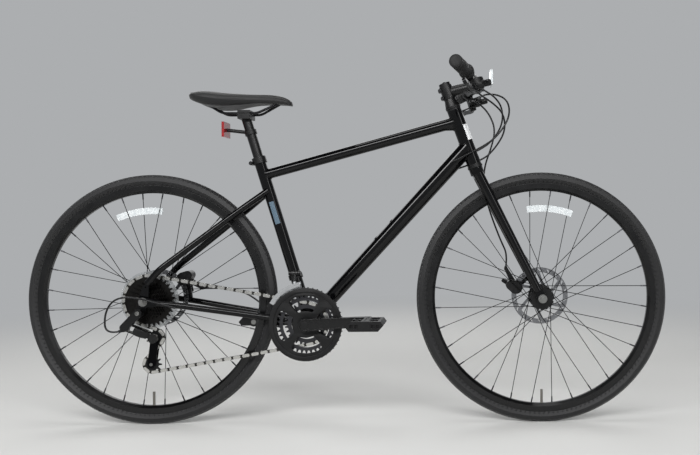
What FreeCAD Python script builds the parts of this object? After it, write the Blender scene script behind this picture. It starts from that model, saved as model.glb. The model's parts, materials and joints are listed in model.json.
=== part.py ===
import FreeCAD, Part
import math
import os

# A hybrid bicycle in millimetres: +X is forward, +Y is the rider's left, +Z is up.
# The origin lies on the ground, midway between the axles, in the plane of the wheels.
# The drive side, with the chain, is at -Y.

V = FreeCAD.Vector
X_AXIS = V(1, 0, 0)
Y_AXIS = V(0, 1, 0)
Z_AXIS = V(0, 0, 1)

# Wheels
bead_seat_radius = 311.0
tyre_height = 36.0
wheel_gap = 388.0
wheelbase = 2 * (bead_seat_radius + tyre_height) + wheel_gap
tyre_width = 35.0
rim_width = 24.0
rim_hook = 6.0
rim_wall = 2.0
rim_depth = 15.0
rim_floor = 5.0
tyre_fit = 0.3
spoke_count = 32
spoke_size = 2.0
spoke_cross = 3
flange_thickness = 4.0
flange_hole_inset = 4.0
bearing_fit = 0.05
axle_radius = 5.0
rotor_radius = 80.0
rotor_track = 14.0
rotor_thickness = 1.8
rotor_arms = 6
reflector_inside_rim = 64.0
reflector_radius = bead_seat_radius - reflector_inside_rim
reflector_length = 128.0
reflector_height = 18.0
reflector_depth = 7.0
valve_length = 38.0
valve_radius = 3.5
valve_hole_fit = 0.5
rotor_hub_radius = 27.0
rotor_bore = 13.0
rotor_seat_fit = 0.05
nut_height = 4.0

# Front wheel, between fork ends 100 mm apart
front_ends = 100.0
front_flange_radius = 34.0
front_flange_right = 30.0
front_flange_left = 23.0
front_barrel_radius = 15.0
front_rotor_inset = 12.5
front_neck = 16.0
front_reflector_turn = 84.0

# Rear wheel, between dropouts 135 mm apart
rear_ends = 135.0
rear_flange_radius = 30.0
rear_flange_right = 20.0
rear_flange_left = 33.0
rear_barrel_radius = 18.0
rear_rotor_inset = 15.0
protector_radius = 80.0
protector_plate = 1.6
freewheel_neck = 17.0
rear_reflector_turn = 98.5

# Drive train
chain_pitch = 12.7
chain_plate_height = 8.4
chain_plate = 1.0
ring_teeth = (28, 38, 48)
ring_lines = (41.5, 48.5, 55.5)
ring_plate = 2.2
cog_teeth = (34, 24, 22, 20, 18, 16, 14)
largest_cog_line = 32.0
cog_spacing = 5.0
cog_plate = 2.0
tooth_height = 8.0
tooth_root_share = 0.62
pulley_teeth = 11
crank_length = 175.0
crank_pose = 3.0
spindle_radius = 8.5
guard_radius = 100.0
guard_window_radius = 33.0
guard_window_reach = 58.0
guard_inner_radius = 79.0
guard_line = 60.5
guard_plate = 3.0
arm_line = 65.0
arm_plate = 14.0
pedal_length = 98.0
pedal_width = 92.0
pedal_height = 26.0
pedal_gap = 6.0
pedal_spindle_radius = 4.5
pedal_fit = 0.1
pedal_thread = 7.0
cap_depth = 6.0
boss_radius_crank = 18.0
bolt_reach = 46.5
guard_lip = 2.0
roller_radius = 2.4
link_inner_gap = 1.6
plate_gap = 0.2
freewheel_body_radius = 22.0

# Frame
bottom_bracket_drop = 65.0
stay_beyond_tyre = 94.0
chainstay_length = bead_seat_radius + tyre_height + stay_beyond_tyre
shell_width = 68.0
shell_radius = 20.0
shell_bore = 17.5
seat_angle = 73.0
seat_tube_length = 478.0
seat_tube_radius = 15.9
seatpost_radius = 13.6
head_angle = 70.0
fork_rake = 46.0
fork_above_tyre = 54.0
fork_length = bead_seat_radius + tyre_height + fork_above_tyre
head_tube_length = 160.0
head_tube_radius = 20.0
head_bore = 17.0
cup_height = 11.0
cup_radius = 21.5
top_tube_below_seat_top = 50.0
top_tube_below_head = 33.0
top_tube_radius_rear = 14.0
top_tube_radius_front = 15.6
top_tube_flare = 62.0
flare_drop = 11.5
flare_radius_rear = 10.0
flare_radius_front = 14.0
down_tube_above_foot = 51.0
down_tube_radius_rear = 19.0
down_tube_radius_front = 22.5
chainstay_radius = 8.5
seatstay_radius = 9.0
seatstay_below_seat_top = 95.0
dropout_plate = 6.0
hanger_drop = 28.0
eyelet_rise = 40.0
tube_wall = 2.0
clamp_height = 16.0
clamp_wall = 3.5
thread_radius = 2.5
bottle_spacing = 64.0
bottle_place = 0.5
boss_radius = 5.0
boss_depth = 9.0
cartridge_fit = 0.05

# Steering
steerer_radius = 14.3
steerer_fit = 0.1
steering_gap = 0.4
blade_radius_top = 15.0
blade_radius_end = 10.5
blade_spread_top = 43.0
crown_radius = 15.5
crown_drop = 19.0
cover_height = 23.0
stem_clamp_height = 38.0
stem_clamp_radius = 18.0
stem_length = 84.0
stem_rise = 13.5
stem_radius = 15.0
stem_face_width = 44.0
stem_face_wall = 5.0
cap_height = 8.0
bar_radius = 11.1
bar_bulge_radius = 15.9
bar_half_width = 316.0
bar_backsweep = 12.2
bar_rise = 1.6
bar_centre_straight = 62.0
grip_radius = 16.5
grip_length = 126.0
grip_flange = 20.0
bar_bulge_half = 42.0
control_gap = 14.0
lever_pivot_drop = 46.0
lever_length = 116.0
lever_plate = 9.0
lever_fit = 0.5
pod_radius = 21.0
pod_height = 16.0
shift_plate = 4.0
shift_fit = 0.4
shift_axis_radius = 3.0
bar_bend = 90.0
band_half = 8.0
lever_eye = 8.0
caliper_slot = 4.4
caliper_radius = 19.0
caliper_depth = 20.0
caliper_inner_depth = 12.0
caliper_arm_length = 38.0
caliper_arm_plate = 5.0
caliper_arm_fit = 0.4
front_caliper_turn = 160.0
rear_caliper_turn = 38.0
front_caliper_reach = 72.0
rear_caliper_reach = 86.0
front_arm_turn = 155.0
rear_arm_turn = -70.0
stop_radius = 4.0
stop_half = 6.0

# Seat
saddle_length = 277.0
saddle_width = 156.0
saddle_behind_post = 145.5
saddle_above_rails = 62.0
rail_radius = 3.5
rail_above_post = 12.0
seatpost_show = 116.0
rail_spread = 22.0
cradle_length = 34.0
seat_insertion = 150.0
reflector_ring_above_seat_top = 74.0
rear_lens_width = 58.0
rear_lens_height = 42.0
front_lens_width = 62.0
front_lens_height = 40.0
lens_depth = 7.0

# Derailleurs
link_length = 54.0
link_swing = 30.0
link_slant = 60.0
cage_line = 32.0
cage_inner_half = 5.6
cage_plate = 1.6
guide_pulley_place = (18.0, -102.0)
tension_pulley_place = (8.0, -175.0)
pulley_plate = 2.4
pulley_fit = 0.3
knuckle_radius = 13.0
shifter_cage_inner = 103.5
shifter_cage_outer = 115.5
shifter_cage_start = 99.0
shifter_cage_end = 150.0
shifter_on_seat = 132.0
shifter_ring = 7.0
shifter_eye = 6.5
arm_half = 8.0
shifter_plate = 1.5
knuckle_drop = 24.0
link_eye = 7.0
link_pin = 2.5
lug_half = 7.6
link_gap = 0.4
link_plate = 3.0
body_depth = 12.0
cage_pin = 4.0
pulley_bolt = 2.5
cage_eye = 11.0
cable_radius = 2.5
cable_fit = 0.3

os.makedirs("parts", exist_ok=True)


def export(node, *solids):
    """Write the solids of one node; several solids stay separate pieces."""
    shape = solids[0] if len(solids) == 1 else Part.makeCompound(list(solids))
    shape.exportStep("parts/" + node + ".step")


def cylinder(start, end, radius):
    """Round bar between two points."""
    run = end - start
    return Part.makeCylinder(radius, run.Length, start, run)


def tube(start, end, outer, inner):
    """Round tube between two points."""
    return cylinder(start, end, outer).cut(cylinder(start, end, inner))


def taper(start, end, radius_start, radius_end):
    """Tapered round bar between two points."""
    run = end - start
    return Part.makeCone(radius_start, radius_end, run.Length, start, run)


def beam(start, end, size, sides=6):
    """Thin prism with a regular outline, for spokes and small rods."""
    run = end - start
    side = run.cross(Z_AXIS if abs(run.z) < 0.9 * run.Length else X_AXIS).normalize()
    rise = run.cross(side).normalize()
    corners = []
    for k in range(sides + 1):
        a = 2 * math.pi * (k % sides) / sides
        corners.append(start + side * (size * math.cos(a)) + rise * (size * math.sin(a)))
    return Part.Face(Part.makePolygon(corners)).extrude(run)


def spin(points, centre):
    """Ring turned about the wheel axis from (radius, y) corners, centred on an (x, z) place."""
    corners = [V(centre.x + r, y, centre.z) for r, y in points]
    face = Part.Face(Part.makePolygon(corners + corners[:1]))
    return face.revolve(V(centre.x, 0, centre.z), Y_AXIS, 360)


def disc(centre, y0, y1, outer, inner=0.0):
    """Flat ring about the wheel axis between two side planes."""
    body = Part.makeCylinder(outer, y1 - y0, V(centre.x, y0, centre.z), Y_AXIS)
    if inner > 0:
        body = body.cut(Part.makeCylinder(inner, y1 - y0, V(centre.x, y0, centre.z), Y_AXIS))
    return body


def plate(points, y0, y1):
    """Flat plate with an (x, z) outline between two side planes."""
    corners = [V(x, y0, z) for x, z in points]
    return Part.Face(Part.makePolygon(corners + corners[:1])).extrude(V(0, y1 - y0, 0))


def strap(start, radius_start, end, radius_end, y0, y1):
    """Plate bounded by two round ends and their common tangents, in side view."""
    dx, dz = end.x - start.x, end.z - start.z
    span = math.hypot(dx, dz)
    lean = math.atan2(dz, dx)
    open_angle = math.acos((radius_start - radius_end) / span)

    def rim(centre, radius, angle):
        return V(centre.x + radius * math.cos(angle), y0, centre.z + radius * math.sin(angle))

    a0 = rim(start, radius_start, lean + open_angle)
    a1 = rim(start, radius_start, lean + math.pi)
    a2 = rim(start, radius_start, lean - open_angle)
    b0 = rim(end, radius_end, lean - open_angle)
    b1 = rim(end, radius_end, lean)
    b2 = rim(end, radius_end, lean + open_angle)
    edges = [
        Part.Arc(a0, a1, a2).toShape(),
        Part.LineSegment(a2, b0).toShape(),
        Part.Arc(b0, b1, b2).toShape(),
        Part.LineSegment(b2, a0).toShape(),
    ]
    return Part.Face(Part.Wire(edges)).extrude(V(0, y1 - y0, 0))


def bent_wire(points, share=0.45, largest=None):
    """Straight runs joined by tangent arcs, as large as the shorter run allows."""
    edges = []
    last = points[0]
    for before, corner, after in zip(points, points[1:], points[2:]):
        back, ahead = (before - corner), (after - corner)
        run = min(back.Length, ahead.Length)
        half = back.getAngle(ahead) / 2
        turn = math.pi / 2 - half
        back.normalize()
        ahead.normalize()
        if turn < 0.004:
            continue
        radius = share * run / math.tan(turn)
        if largest:
            radius = min(radius, largest)
        reach = radius * math.tan(turn)
        inward = (back + ahead).normalize()
        middle = corner + inward * (radius / math.sin(half) - radius)
        enter, leave = corner + back * reach, corner + ahead * reach
        if (enter - last).Length > 1e-4:
            edges.append(Part.LineSegment(last, enter).toShape())
        edges.append(Part.Arc(enter, middle, leave).toShape())
        last = leave
    edges.append(Part.LineSegment(last, points[-1]).toShape())
    return Part.Wire(edges)


def bent_bar(points, radius, share=0.45, largest=None):
    """Round bar along a bent route."""
    wire = bent_wire(points, share, largest)
    start = wire.Edges[0]
    heading = start.tangentAt(start.FirstParameter)
    ring = Part.Wire(Part.Circle(points[0], heading, radius).toShape())
    return wire.makePipeShell([ring], True, False)


def mirrored(shape):
    """The same piece on the other side of the bike."""
    return shape.mirror(V(0, 0, 0), Y_AXIS)


def pitch_radius(teeth):
    return chain_pitch / (2 * math.sin(math.pi / teeth))


def toothed_disc(centre, teeth, line, thickness, bore, phase=0.0):
    """Sprocket plate with pointed teeth on the chain's pitch circle, on the drive side."""
    root = pitch_radius(teeth) - tooth_height / 2
    tip = root + tooth_height
    corners = []
    for k in range(teeth):
        middle = phase + 2 * math.pi * (k + 0.5) / teeth
        wide = math.pi / teeth * tooth_root_share
        thin = wide * 0.35
        corner_angles = (middle - wide, middle - thin, middle + thin, middle + wide)
        for angle, radius in zip(corner_angles, (root, tip, tip, root)):
            corners.append((centre.x + radius * math.cos(angle), centre.z + radius * math.sin(angle)))
    body = plate(corners, -line - thickness / 2, -line + thickness / 2)
    return body.cut(disc(centre, -line - thickness, -line + thickness, bore))


# Main places of the layout
wheel_radius = bead_seat_radius + tyre_height
rear_axle = V(-wheelbase / 2, 0, wheel_radius)
front_axle = V(wheelbase / 2, 0, wheel_radius)
bb_height = wheel_radius - bottom_bracket_drop
bb = V(rear_axle.x + math.sqrt(chainstay_length**2 - bottom_bracket_drop**2), 0, bb_height)
seat_dir = V(-math.cos(math.radians(seat_angle)), 0, math.sin(math.radians(seat_angle)))
head_dir = V(-math.cos(math.radians(head_angle)), 0, math.sin(math.radians(head_angle)))
head_front = V(math.sin(math.radians(head_angle)), 0, math.cos(math.radians(head_angle)))
head_foot = front_axle - head_front * fork_rake


def on_head(s, forward=0.0, y=0.0):
    """Place at a distance up the steering axis, offset forward and sideways."""
    return head_foot + head_dir * s + head_front * forward + V(0, y, 0)


def on_seat(s, y=0.0):
    """Place at a distance up the seat tube axis from the bottom bracket."""
    return bb + seat_dir * s + V(0, y, 0)


# Tyres, rims and valves
rim_outer = bead_seat_radius + rim_hook
rim_inner = bead_seat_radius - rim_depth
channel_floor = bead_seat_radius - rim_floor
foot_half = rim_width / 2 - rim_wall - tyre_fit


def make_tyre(axle):
    """Tyre with its inner tube, standing in the rim channel on two beads."""
    half = tyre_width / 2
    side = [
        (channel_floor + tyre_fit, foot_half),
        (rim_outer + 1.0, foot_half),
        (wheel_radius - half, half),
        (wheel_radius - 0.17 * tyre_width, 0.36 * tyre_width),
        (wheel_radius, 0.1 * tyre_width),
    ]
    return spin(side + [(r, -y) for r, y in reversed(side)], axle)


def make_rim(axle):
    """Box rim with a tyre channel between two hooked walls."""
    half = rim_width / 2
    side = [
        (channel_floor, half - rim_wall),
        (rim_outer, half - rim_wall),
        (rim_outer, half),
        (rim_inner + 0.45 * rim_depth, half),
        (rim_inner, 0.4 * half),
    ]
    return spin(side + [(r, -y) for r, y in reversed(side)], axle)


def make_spokes(axle, flange_radius, flange_right, flange_left):
    """Spokes crossing three others on each side, every second one outside its flange."""
    per_side = spoke_count // 2
    step = 2 * math.pi / per_side
    hole_radius = flange_radius - flange_hole_inset
    clear = flange_thickness / 2 + spoke_size / 2 + 0.1
    spokes = []
    for flange_y in (-flange_right, flange_left):
        side = 1 if flange_y > 0 else -1
        start_turn = step / 4 if side > 0 else -step / 4
        for k in range(per_side):
            lead = 1 if k % 2 == 0 else -1
            hole_angle = start_turn + k * step
            rim_angle = hole_angle + lead * spoke_cross * step
            hub_end = axle + V(hole_radius * math.cos(hole_angle), 0, hole_radius * math.sin(hole_angle))
            hub_end.y = flange_y + lead * clear
            reach = rim_inner - tyre_fit
            rim_end = axle + V(reach * math.cos(rim_angle), 0, reach * math.sin(rim_angle))
            rim_end.y = side * spoke_size
            spokes.append(beam(hub_end, rim_end, spoke_size / 2, 5))
    return spokes


def make_wheel_reflector(axle, turn, line):
    """Bar reflector lying across the spokes, curved with the wheel."""
    half = math.degrees(reflector_length / 2 / reflector_radius)
    ring = spin(
        [
            (reflector_radius - reflector_height / 2, line - reflector_depth / 2),
            (reflector_radius + reflector_height / 2, line - reflector_depth / 2),
            (reflector_radius + reflector_height / 2 - 2, line + reflector_depth / 2),
            (reflector_radius - reflector_height / 2 + 2, line + reflector_depth / 2),
        ],
        axle,
    )
    reach = reflector_radius + reflector_height
    low, high = math.radians(turn - half), math.radians(turn + half)
    wedge = plate(
        [
            (axle.x, axle.z),
            (axle.x + reach * math.cos(low), axle.z + reach * math.sin(low)),
            (axle.x + reach * math.cos(high), axle.z + reach * math.sin(high)),
        ],
        line - reflector_depth,
        line + reflector_depth,
    )
    return ring.common(wedge)


def make_rotor(axle, line):
    """Disc rotor: a slotted brake track on six swept arms and a hub ring."""
    low, high = line - rotor_thickness / 2, line + rotor_thickness / 2
    track = disc(axle, low, high, rotor_radius, rotor_radius - rotor_track)
    hub_ring = disc(axle, low, high, rotor_hub_radius, rotor_bore)
    rotor = track.fuse(hub_ring)
    slots = []
    for k in range(rotor_arms):
        angle = 2 * math.pi * k / rotor_arms
        sweep = angle + 0.6
        root, tip = rotor_hub_radius - 2.0, rotor_radius - rotor_track + 2.0
        wide = 0.16
        arm = plate(
            [
                (axle.x + root * math.cos(angle - wide), axle.z + root * math.sin(angle - wide)),
                (axle.x + tip * math.cos(sweep - 0.5 * wide), axle.z + tip * math.sin(sweep - 0.5 * wide)),
                (axle.x + tip * math.cos(sweep + 0.5 * wide), axle.z + tip * math.sin(sweep + 0.5 * wide)),
                (axle.x + root * math.cos(angle + wide), axle.z + root * math.sin(angle + wide)),
            ],
            low,
            high,
        )
        rotor = rotor.fuse(arm)
        for j in range(3):
            a = angle + (j + 0.5) * 2 * math.pi / rotor_arms / 3
            r0, r1 = rotor_radius - rotor_track + 3.0, rotor_radius - 3.5
            slots.append(
                plate(
                    [
                        (axle.x + r0 * math.cos(a - 0.07), axle.z + r0 * math.sin(a - 0.07)),
                        (axle.x + r1 * math.cos(a + 0.02), axle.z + r1 * math.sin(a + 0.02)),
                        (axle.x + r1 * math.cos(a + 0.08), axle.z + r1 * math.sin(a + 0.08)),
                        (axle.x + r0 * math.cos(a - 0.01), axle.z + r0 * math.sin(a - 0.01)),
                    ],
                    low - 1,
                    high + 1,
                )
            )
    return rotor.cut(Part.makeCompound(slots))


hub_bore = axle_radius + bearing_fit


def make_hub(axle, ends, radius, right, left, barrel, neck, rotor_line):
    """Hub shell: barrel, two flanges, a rotor seat on the left and a neck on the right."""
    half = flange_thickness / 2
    right_end = ends / 2 - nut_height
    seat = rotor_line - rotor_thickness / 2
    profile = [
        (hub_bore, -right_end),
        (neck, -right_end),
        (neck, -right - half),
        (radius, -right - half),
        (radius, -right + half),
        (barrel, -right + half + 3.0),
        (barrel, left - half - 3.0),
        (radius, left - half),
        (radius, left + half),
        (rotor_hub_radius - 3.0, left + half),
        (rotor_hub_radius - 3.0, seat),
        (rotor_bore - rotor_seat_fit, seat),
        (rotor_bore - rotor_seat_fit, right_end),
        (hub_bore, right_end),
    ]
    hub = spin(profile, axle)
    per_side = spoke_count // 2
    cuts = []
    for k in range(per_side):
        angle = 2 * math.pi * (k + 0.5) / per_side
        place = axle + V(radius * math.cos(angle), 0, radius * math.sin(angle))
        cuts.append(beam(place - Y_AXIS * (right + half + 1), place - Y_AXIS * (right - half - 1), 3.4, 8))
    return hub.cut(Part.makeCompound(cuts))


def make_axle(axle, ends, plate_thickness):
    """Solid axle with a locknut inside and a nut outside each frame end."""
    reach = ends / 2 + plate_thickness + 13.0
    shaft = cylinder(axle - Y_AXIS * reach, axle + Y_AXIS * reach, axle_radius)
    pieces = shaft
    for side in (-1, 1):
        inner0 = axle + Y_AXIS * (side * (ends / 2 - nut_height + 0.3))
        inner1 = axle + Y_AXIS * (side * ends / 2)
        outer0 = axle + Y_AXIS * (side * (ends / 2 + plate_thickness))
        outer1 = axle + Y_AXIS * (side * (ends / 2 + plate_thickness + 9.0))
        pieces = pieces.fuse(cylinder(inner0, inner1, 9.0))
        pieces = pieces.fuse(beam(outer0, outer1, 9.5, 6))
        pieces = pieces.fuse(cylinder(outer0, outer0 + Y_AXIS * (side * 2.0), 12.0))
    return pieces.removeSplitter()


def make_valve(axle):
    """Valve stem standing inward from the rim at the bottom of the wheel."""
    top = axle - Z_AXIS * (rim_inner - valve_length)
    return cylinder(axle - Z_AXIS * (channel_floor + tyre_fit), top, valve_radius)


front_rotor_line = front_ends / 2 - front_rotor_inset
rear_rotor_line = rear_ends / 2 - rear_rotor_inset

for name, axle in (("front", front_axle), ("rear", rear_axle)):
    hole_end = axle - Z_AXIS * (rim_inner - 10)
    hole = cylinder(axle - Z_AXIS * rim_outer, hole_end, valve_radius + valve_hole_fit)
    export(name + "_tyre", make_tyre(axle).fuse(make_valve(axle)))
    export(name + "_rim", make_rim(axle).cut(hole))

reflector_line = 0.0
front_hub = make_hub(
    front_axle,
    front_ends,
    front_flange_radius,
    front_flange_right,
    front_flange_left,
    front_barrel_radius,
    front_neck,
    front_rotor_line,
)
rear_hub = make_hub(
    rear_axle,
    rear_ends,
    rear_flange_radius,
    rear_flange_right,
    rear_flange_left,
    rear_barrel_radius,
    freewheel_neck,
    rear_rotor_line,
)
front_spokes = make_spokes(front_axle, front_flange_radius, front_flange_right, front_flange_left)
rear_spokes = make_spokes(rear_axle, rear_flange_radius, rear_flange_right, rear_flange_left)
front_clip = make_wheel_reflector(front_axle, front_reflector_turn, reflector_line)
rear_clip = make_wheel_reflector(rear_axle, rear_reflector_turn, reflector_line)
export("front_spokes", *[spoke.cut(front_hub) for spoke in front_spokes], front_clip)
export("rear_spokes", *[spoke.cut(rear_hub) for spoke in rear_spokes], rear_clip)
export("front_rotor", make_rotor(front_axle, front_rotor_line))
export("rear_rotor", make_rotor(rear_axle, rear_rotor_line))
protector_line = rear_flange_right + flange_thickness / 2 + spoke_size + 2.2
protector_outer = -protector_line - protector_plate
protector = disc(rear_axle, protector_outer, -protector_line, protector_radius, freewheel_neck)
export("front_hub", front_hub)
export("rear_hub", rear_hub, protector)
export("front_axle", make_axle(front_axle, front_ends, dropout_plate))
export("rear_axle", make_axle(rear_axle, rear_ends, dropout_plate))


# Frame tubes
shell = tube(bb - Y_AXIS * (shell_width / 2), bb + Y_AXIS * (shell_width / 2), shell_radius, shell_bore)
shell_space = cylinder(bb - Y_AXIS * shell_width, bb + Y_AXIS * shell_width, shell_radius)
spindle_bore = spindle_radius + bearing_fit
cartridge = tube(
    bb - Y_AXIS * (shell_width / 2 + 1.5),
    bb + Y_AXIS * (shell_width / 2 + 1.5),
    shell_bore - cartridge_fit,
    spindle_bore,
)
export("bottom_bracket", shell, cartridge)

head_low = fork_length + cup_height
head_high = head_low + head_tube_length
head_space = cylinder(on_head(head_low - 60), on_head(head_high + 60), head_tube_radius)
head_tube = tube(on_head(head_low), on_head(head_high), head_tube_radius, head_bore)


def make_cup(s0, s1):
    """Headset cup and bearing between two places on the steering axis."""
    middle = (s0 + s1) / 2
    wide = tube(on_head(s0), on_head(middle), cup_radius, steerer_radius + steerer_fit)
    narrow = tube(on_head(middle), on_head(s1), head_tube_radius, steerer_radius + steerer_fit)
    return wide.fuse(narrow)


lower_cup = make_cup(fork_length + steering_gap, head_low)
upper_cup = make_cup(head_high + cup_height, head_high)
export("head_tube", head_tube, lower_cup, upper_cup)

seat_bore = seatpost_radius + bearing_fit
seat_top = on_seat(seat_tube_length)
seat_space = cylinder(bb, on_seat(seat_tube_length + 10), seat_tube_radius)
seat_tube = tube(bb, seat_top, seat_tube_radius, seat_bore).cut(shell_space)
seat_slot = plate([(-2, 0), (2, 0), (2, 40), (-2, 40)], 0, seat_tube_radius * 2)
seat_slot.rotate(V(0, 0, 0), Z_AXIS, 90)
seat_slot.rotate(V(0, 0, 0), Y_AXIS, seat_angle - 90)
seat_slot.translate(on_seat(seat_tube_length - 25))
seat_tube = seat_tube.cut(seat_slot)
export("seat_tube", seat_tube)


def hollow_taper(start, end, radius_start, radius_end):
    """Tapered frame tube with an even wall."""
    outer = taper(start, end, radius_start, radius_end)
    return outer.cut(taper(start, end, radius_start - tube_wall, radius_end - tube_wall))


top_rear = on_seat(seat_tube_length - top_tube_below_seat_top)
top_front = on_head(head_high - top_tube_below_head)
top_dir = (top_front - top_rear).normalize()
top_span = (top_front - top_rear).Length
top_down = V(top_dir.z, 0, -top_dir.x)


def top_radius(along):
    return top_tube_radius_rear + (top_tube_radius_front - top_tube_radius_rear) * along / top_span


flare_start = top_rear + top_dir * (top_span - top_tube_flare)
flare_end = top_front + top_down * flare_drop
flare = taper(flare_start, flare_end, flare_radius_rear, flare_radius_front)
top_tube = taper(top_rear, top_front, top_tube_radius_rear, top_tube_radius_front).fuse(flare)
bore_end = top_radius(top_span - top_tube_flare) - tube_wall
top_bore = taper(top_rear, flare_start, top_tube_radius_rear - tube_wall, bore_end)
export("top_tube", top_tube.cut(top_bore).cut(seat_space).cut(head_space).removeSplitter())

down_front = on_head(head_low + down_tube_above_foot)
down_dir = (down_front - bb).normalize()
down_up = V(-down_dir.z, 0, down_dir.x)
down_span = (down_front - bb).Length


def on_down(along, up=0.0, y=0.0):
    """Place at a distance up the down tube axis, offset above it and sideways."""
    return bb + down_dir * along + down_up * up + V(0, y, 0)


def down_radius(along):
    return down_tube_radius_rear + (down_tube_radius_front - down_tube_radius_rear) * along / down_span


down_tube = hollow_taper(bb, down_front, down_tube_radius_rear, down_tube_radius_front)
down_tube = down_tube.cut(shell_space).cut(seat_space).cut(head_space)
bottle_holes = [bottle_place * down_span + side * bottle_spacing / 2 for side in (-1, 1)]
for along in bottle_holes:
    top = down_radius(along) + 1.0
    down_tube = down_tube.fuse(cylinder(on_down(along, top), on_down(along, top - boss_depth), boss_radius))
    boss_end = on_down(along, top - boss_depth - 1)
    down_tube = down_tube.cut(cylinder(on_down(along, top + 1), boss_end, thread_radius))
export("down_tube", down_tube)

# Seat clamp: a split collar with a bolt behind the seat tube
clamp_low = on_seat(seat_tube_length - clamp_height)
collar_radius = seat_tube_radius + clamp_wall
collar = tube(clamp_low, seat_top, collar_radius, seat_tube_radius)
collar = collar.fuse(tube(seat_top, on_seat(seat_tube_length + 2), collar_radius, seat_bore))
clamp_back = V(-math.sin(math.radians(seat_angle)), 0, -math.cos(math.radians(seat_angle)))
ear_centre = on_seat(seat_tube_length - clamp_height / 2) + clamp_back * (collar_radius + 4.0)
ear = cylinder(ear_centre - Y_AXIS * 10, ear_centre + Y_AXIS * 10, 5.5)
ear = ear.cut(cylinder(clamp_low, seat_top, collar_radius - 0.5))
collar = collar.fuse(ear)
seat_bolt = cylinder(ear_centre - Y_AXIS * 13, ear_centre - Y_AXIS * 10, 4.0)
export("seat_clamp", collar, seat_bolt)

# Chainstays with dropouts, and seatstays
end_line = rear_ends / 2 + dropout_plate / 2
tyre_room = tyre_width / 2 + 5.0
stay_bend_line = tyre_room + chainstay_radius + 0.5
hanger = rear_axle + V(-6, 0, -hanger_drop)
stay_seat = rear_axle + V(40, 0, -4)
eyelet = rear_axle + V(8, 0, eyelet_rise)
chainstays = []
seatstays = []
for side in (-1, 1):
    stay = bent_bar(
        [
            bb + V(-8, side * (stay_bend_line - 6), 0),
            bb + V(-95, side * stay_bend_line, 14),
            stay_seat + V(60, side * (end_line - 8.5), -8),
            stay_seat + V(-4, side * end_line, 0),
        ],
        chainstay_radius,
    )
    low = side * end_line - dropout_plate / 2
    high = low + dropout_plate
    end = strap(rear_axle, 15.0, stay_seat, 9.0, low, high)
    end = end.fuse(strap(rear_axle, 15.0, eyelet, 8.0, low, high))
    if side < 0:
        end = end.fuse(strap(rear_axle, 15.0, hanger, 9.0, low, high))
    stay = stay.cut(shell_space)
    stay = stay.cut(disc(rear_axle, low - 20, low, 36.0)).cut(disc(rear_axle, high, high + 20, 36.0))
    stay = stay.fuse(end)
    stay = stay.cut(disc(rear_axle, low - 1, high + 1, axle_radius))
    stay = stay.cut(disc(eyelet, low - 1, high + 1, thread_radius))
    if side < 0:
        stay = stay.cut(disc(hanger, low - 1, high + 1, thread_radius * 2))
    chainstays.append(stay.removeSplitter())
    seat_joint = on_seat(seat_tube_length - seatstay_below_seat_top)
    upper = bent_bar(
        [
            seat_joint + V(0, side * (seatstay_radius + 1.5), 0),
            seat_joint + V(-62, side * (tyre_room + seatstay_radius), -47),
            eyelet + V(34, side * (end_line - 3), 46),
            eyelet + V(3, side * end_line, 9),
        ],
        seatstay_radius,
    )
    seatstays.append(upper.cut(seat_space).cut(stay))
export("chainstays", *chainstays)
export("seatstays", *seatstays)


# Fork: steerer, crown, two straight blades and their ends
crown = on_head(fork_length - crown_drop)
end_centre = front_ends / 2 + dropout_plate / 2
cover_low = head_high + cup_height
stem_low = cover_low + cover_height
stem_high = stem_low + stem_clamp_height
fork = cylinder(on_head(fork_length - crown_drop), on_head(stem_high), steerer_radius)
fork = fork.fuse(cylinder(on_head(fork_length - crown_drop), on_head(fork_length), cup_radius - 2.0))
fork = fork.fuse(cylinder(crown - Y_AXIS * blade_spread_top, crown + Y_AXIS * blade_spread_top, crown_radius))
blades = []
for side in (-1, 1):
    blade_top = crown + Y_AXIS * (side * blade_spread_top)
    foot = front_axle + Y_AXIS * (side * end_centre)
    run = (foot - blade_top).normalize()
    blade_end = foot - run * 24.0
    blade = taper(blade_top, blade_end, blade_radius_top, blade_radius_end)
    blades.append(blade)
    low = side * end_centre - dropout_plate / 2
    tip = strap(front_axle, 13.0, blade_end - run * 6.0, 8.5, low, low + dropout_plate)
    fork = fork.fuse(blade).fuse(tip).cut(disc(front_axle, low - 1, low + dropout_plate + 1, axle_radius))
fork_eyelet = front_axle + V(-2, 0, 24)
for side in (-1, 1):
    low = side * end_centre - 20
    fork = fork.cut(disc(fork_eyelet, low, low + 40, thread_radius))
export("fork", fork.removeSplitter())

# Stem with its faceplate, the headset cover below it and the top cap
stem_dir = V(math.cos(math.radians(stem_rise)), 0, math.sin(math.radians(stem_rise)))
stem_root = on_head((stem_low + stem_high) / 2)
bar_centre = stem_root + stem_dir * stem_length
steerer_hole = cylinder(on_head(stem_low - 40), on_head(stem_high + 40), steerer_radius)
face_radius = bar_bulge_radius + stem_face_wall
face_low = bar_centre - Y_AXIS * (stem_face_width / 2)
face_high = bar_centre + Y_AXIS * (stem_face_width / 2)
face_ring = tube(face_low, face_high, face_radius, bar_bulge_radius)
stem = cylinder(on_head(stem_low), on_head(stem_high), stem_clamp_radius)
stem = stem.fuse(cylinder(stem_root, bar_centre - stem_dir * bar_bulge_radius, stem_radius)).fuse(face_ring)
for s in (stem_low + 8.0, stem_high - 8.0):
    pinch = on_head(s, -stem_clamp_radius - 1.0)
    stem = stem.fuse(cylinder(pinch - Y_AXIS * 11, pinch + Y_AXIS * 11, 5.0))
stem = stem.cut(steerer_hole)
split = cylinder(bar_centre + stem_dir * 2.0, bar_centre + stem_dir * 80.0, 60.0)
face_side = cylinder(bar_centre + stem_dir * 3.0, bar_centre + stem_dir * 80.0, 60.0)
stem = stem.cut(split).cut(cylinder(face_low, face_high, bar_bulge_radius))
faceplate = face_ring.common(face_side)
cover_foot = on_head(cover_low + steering_gap)
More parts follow.
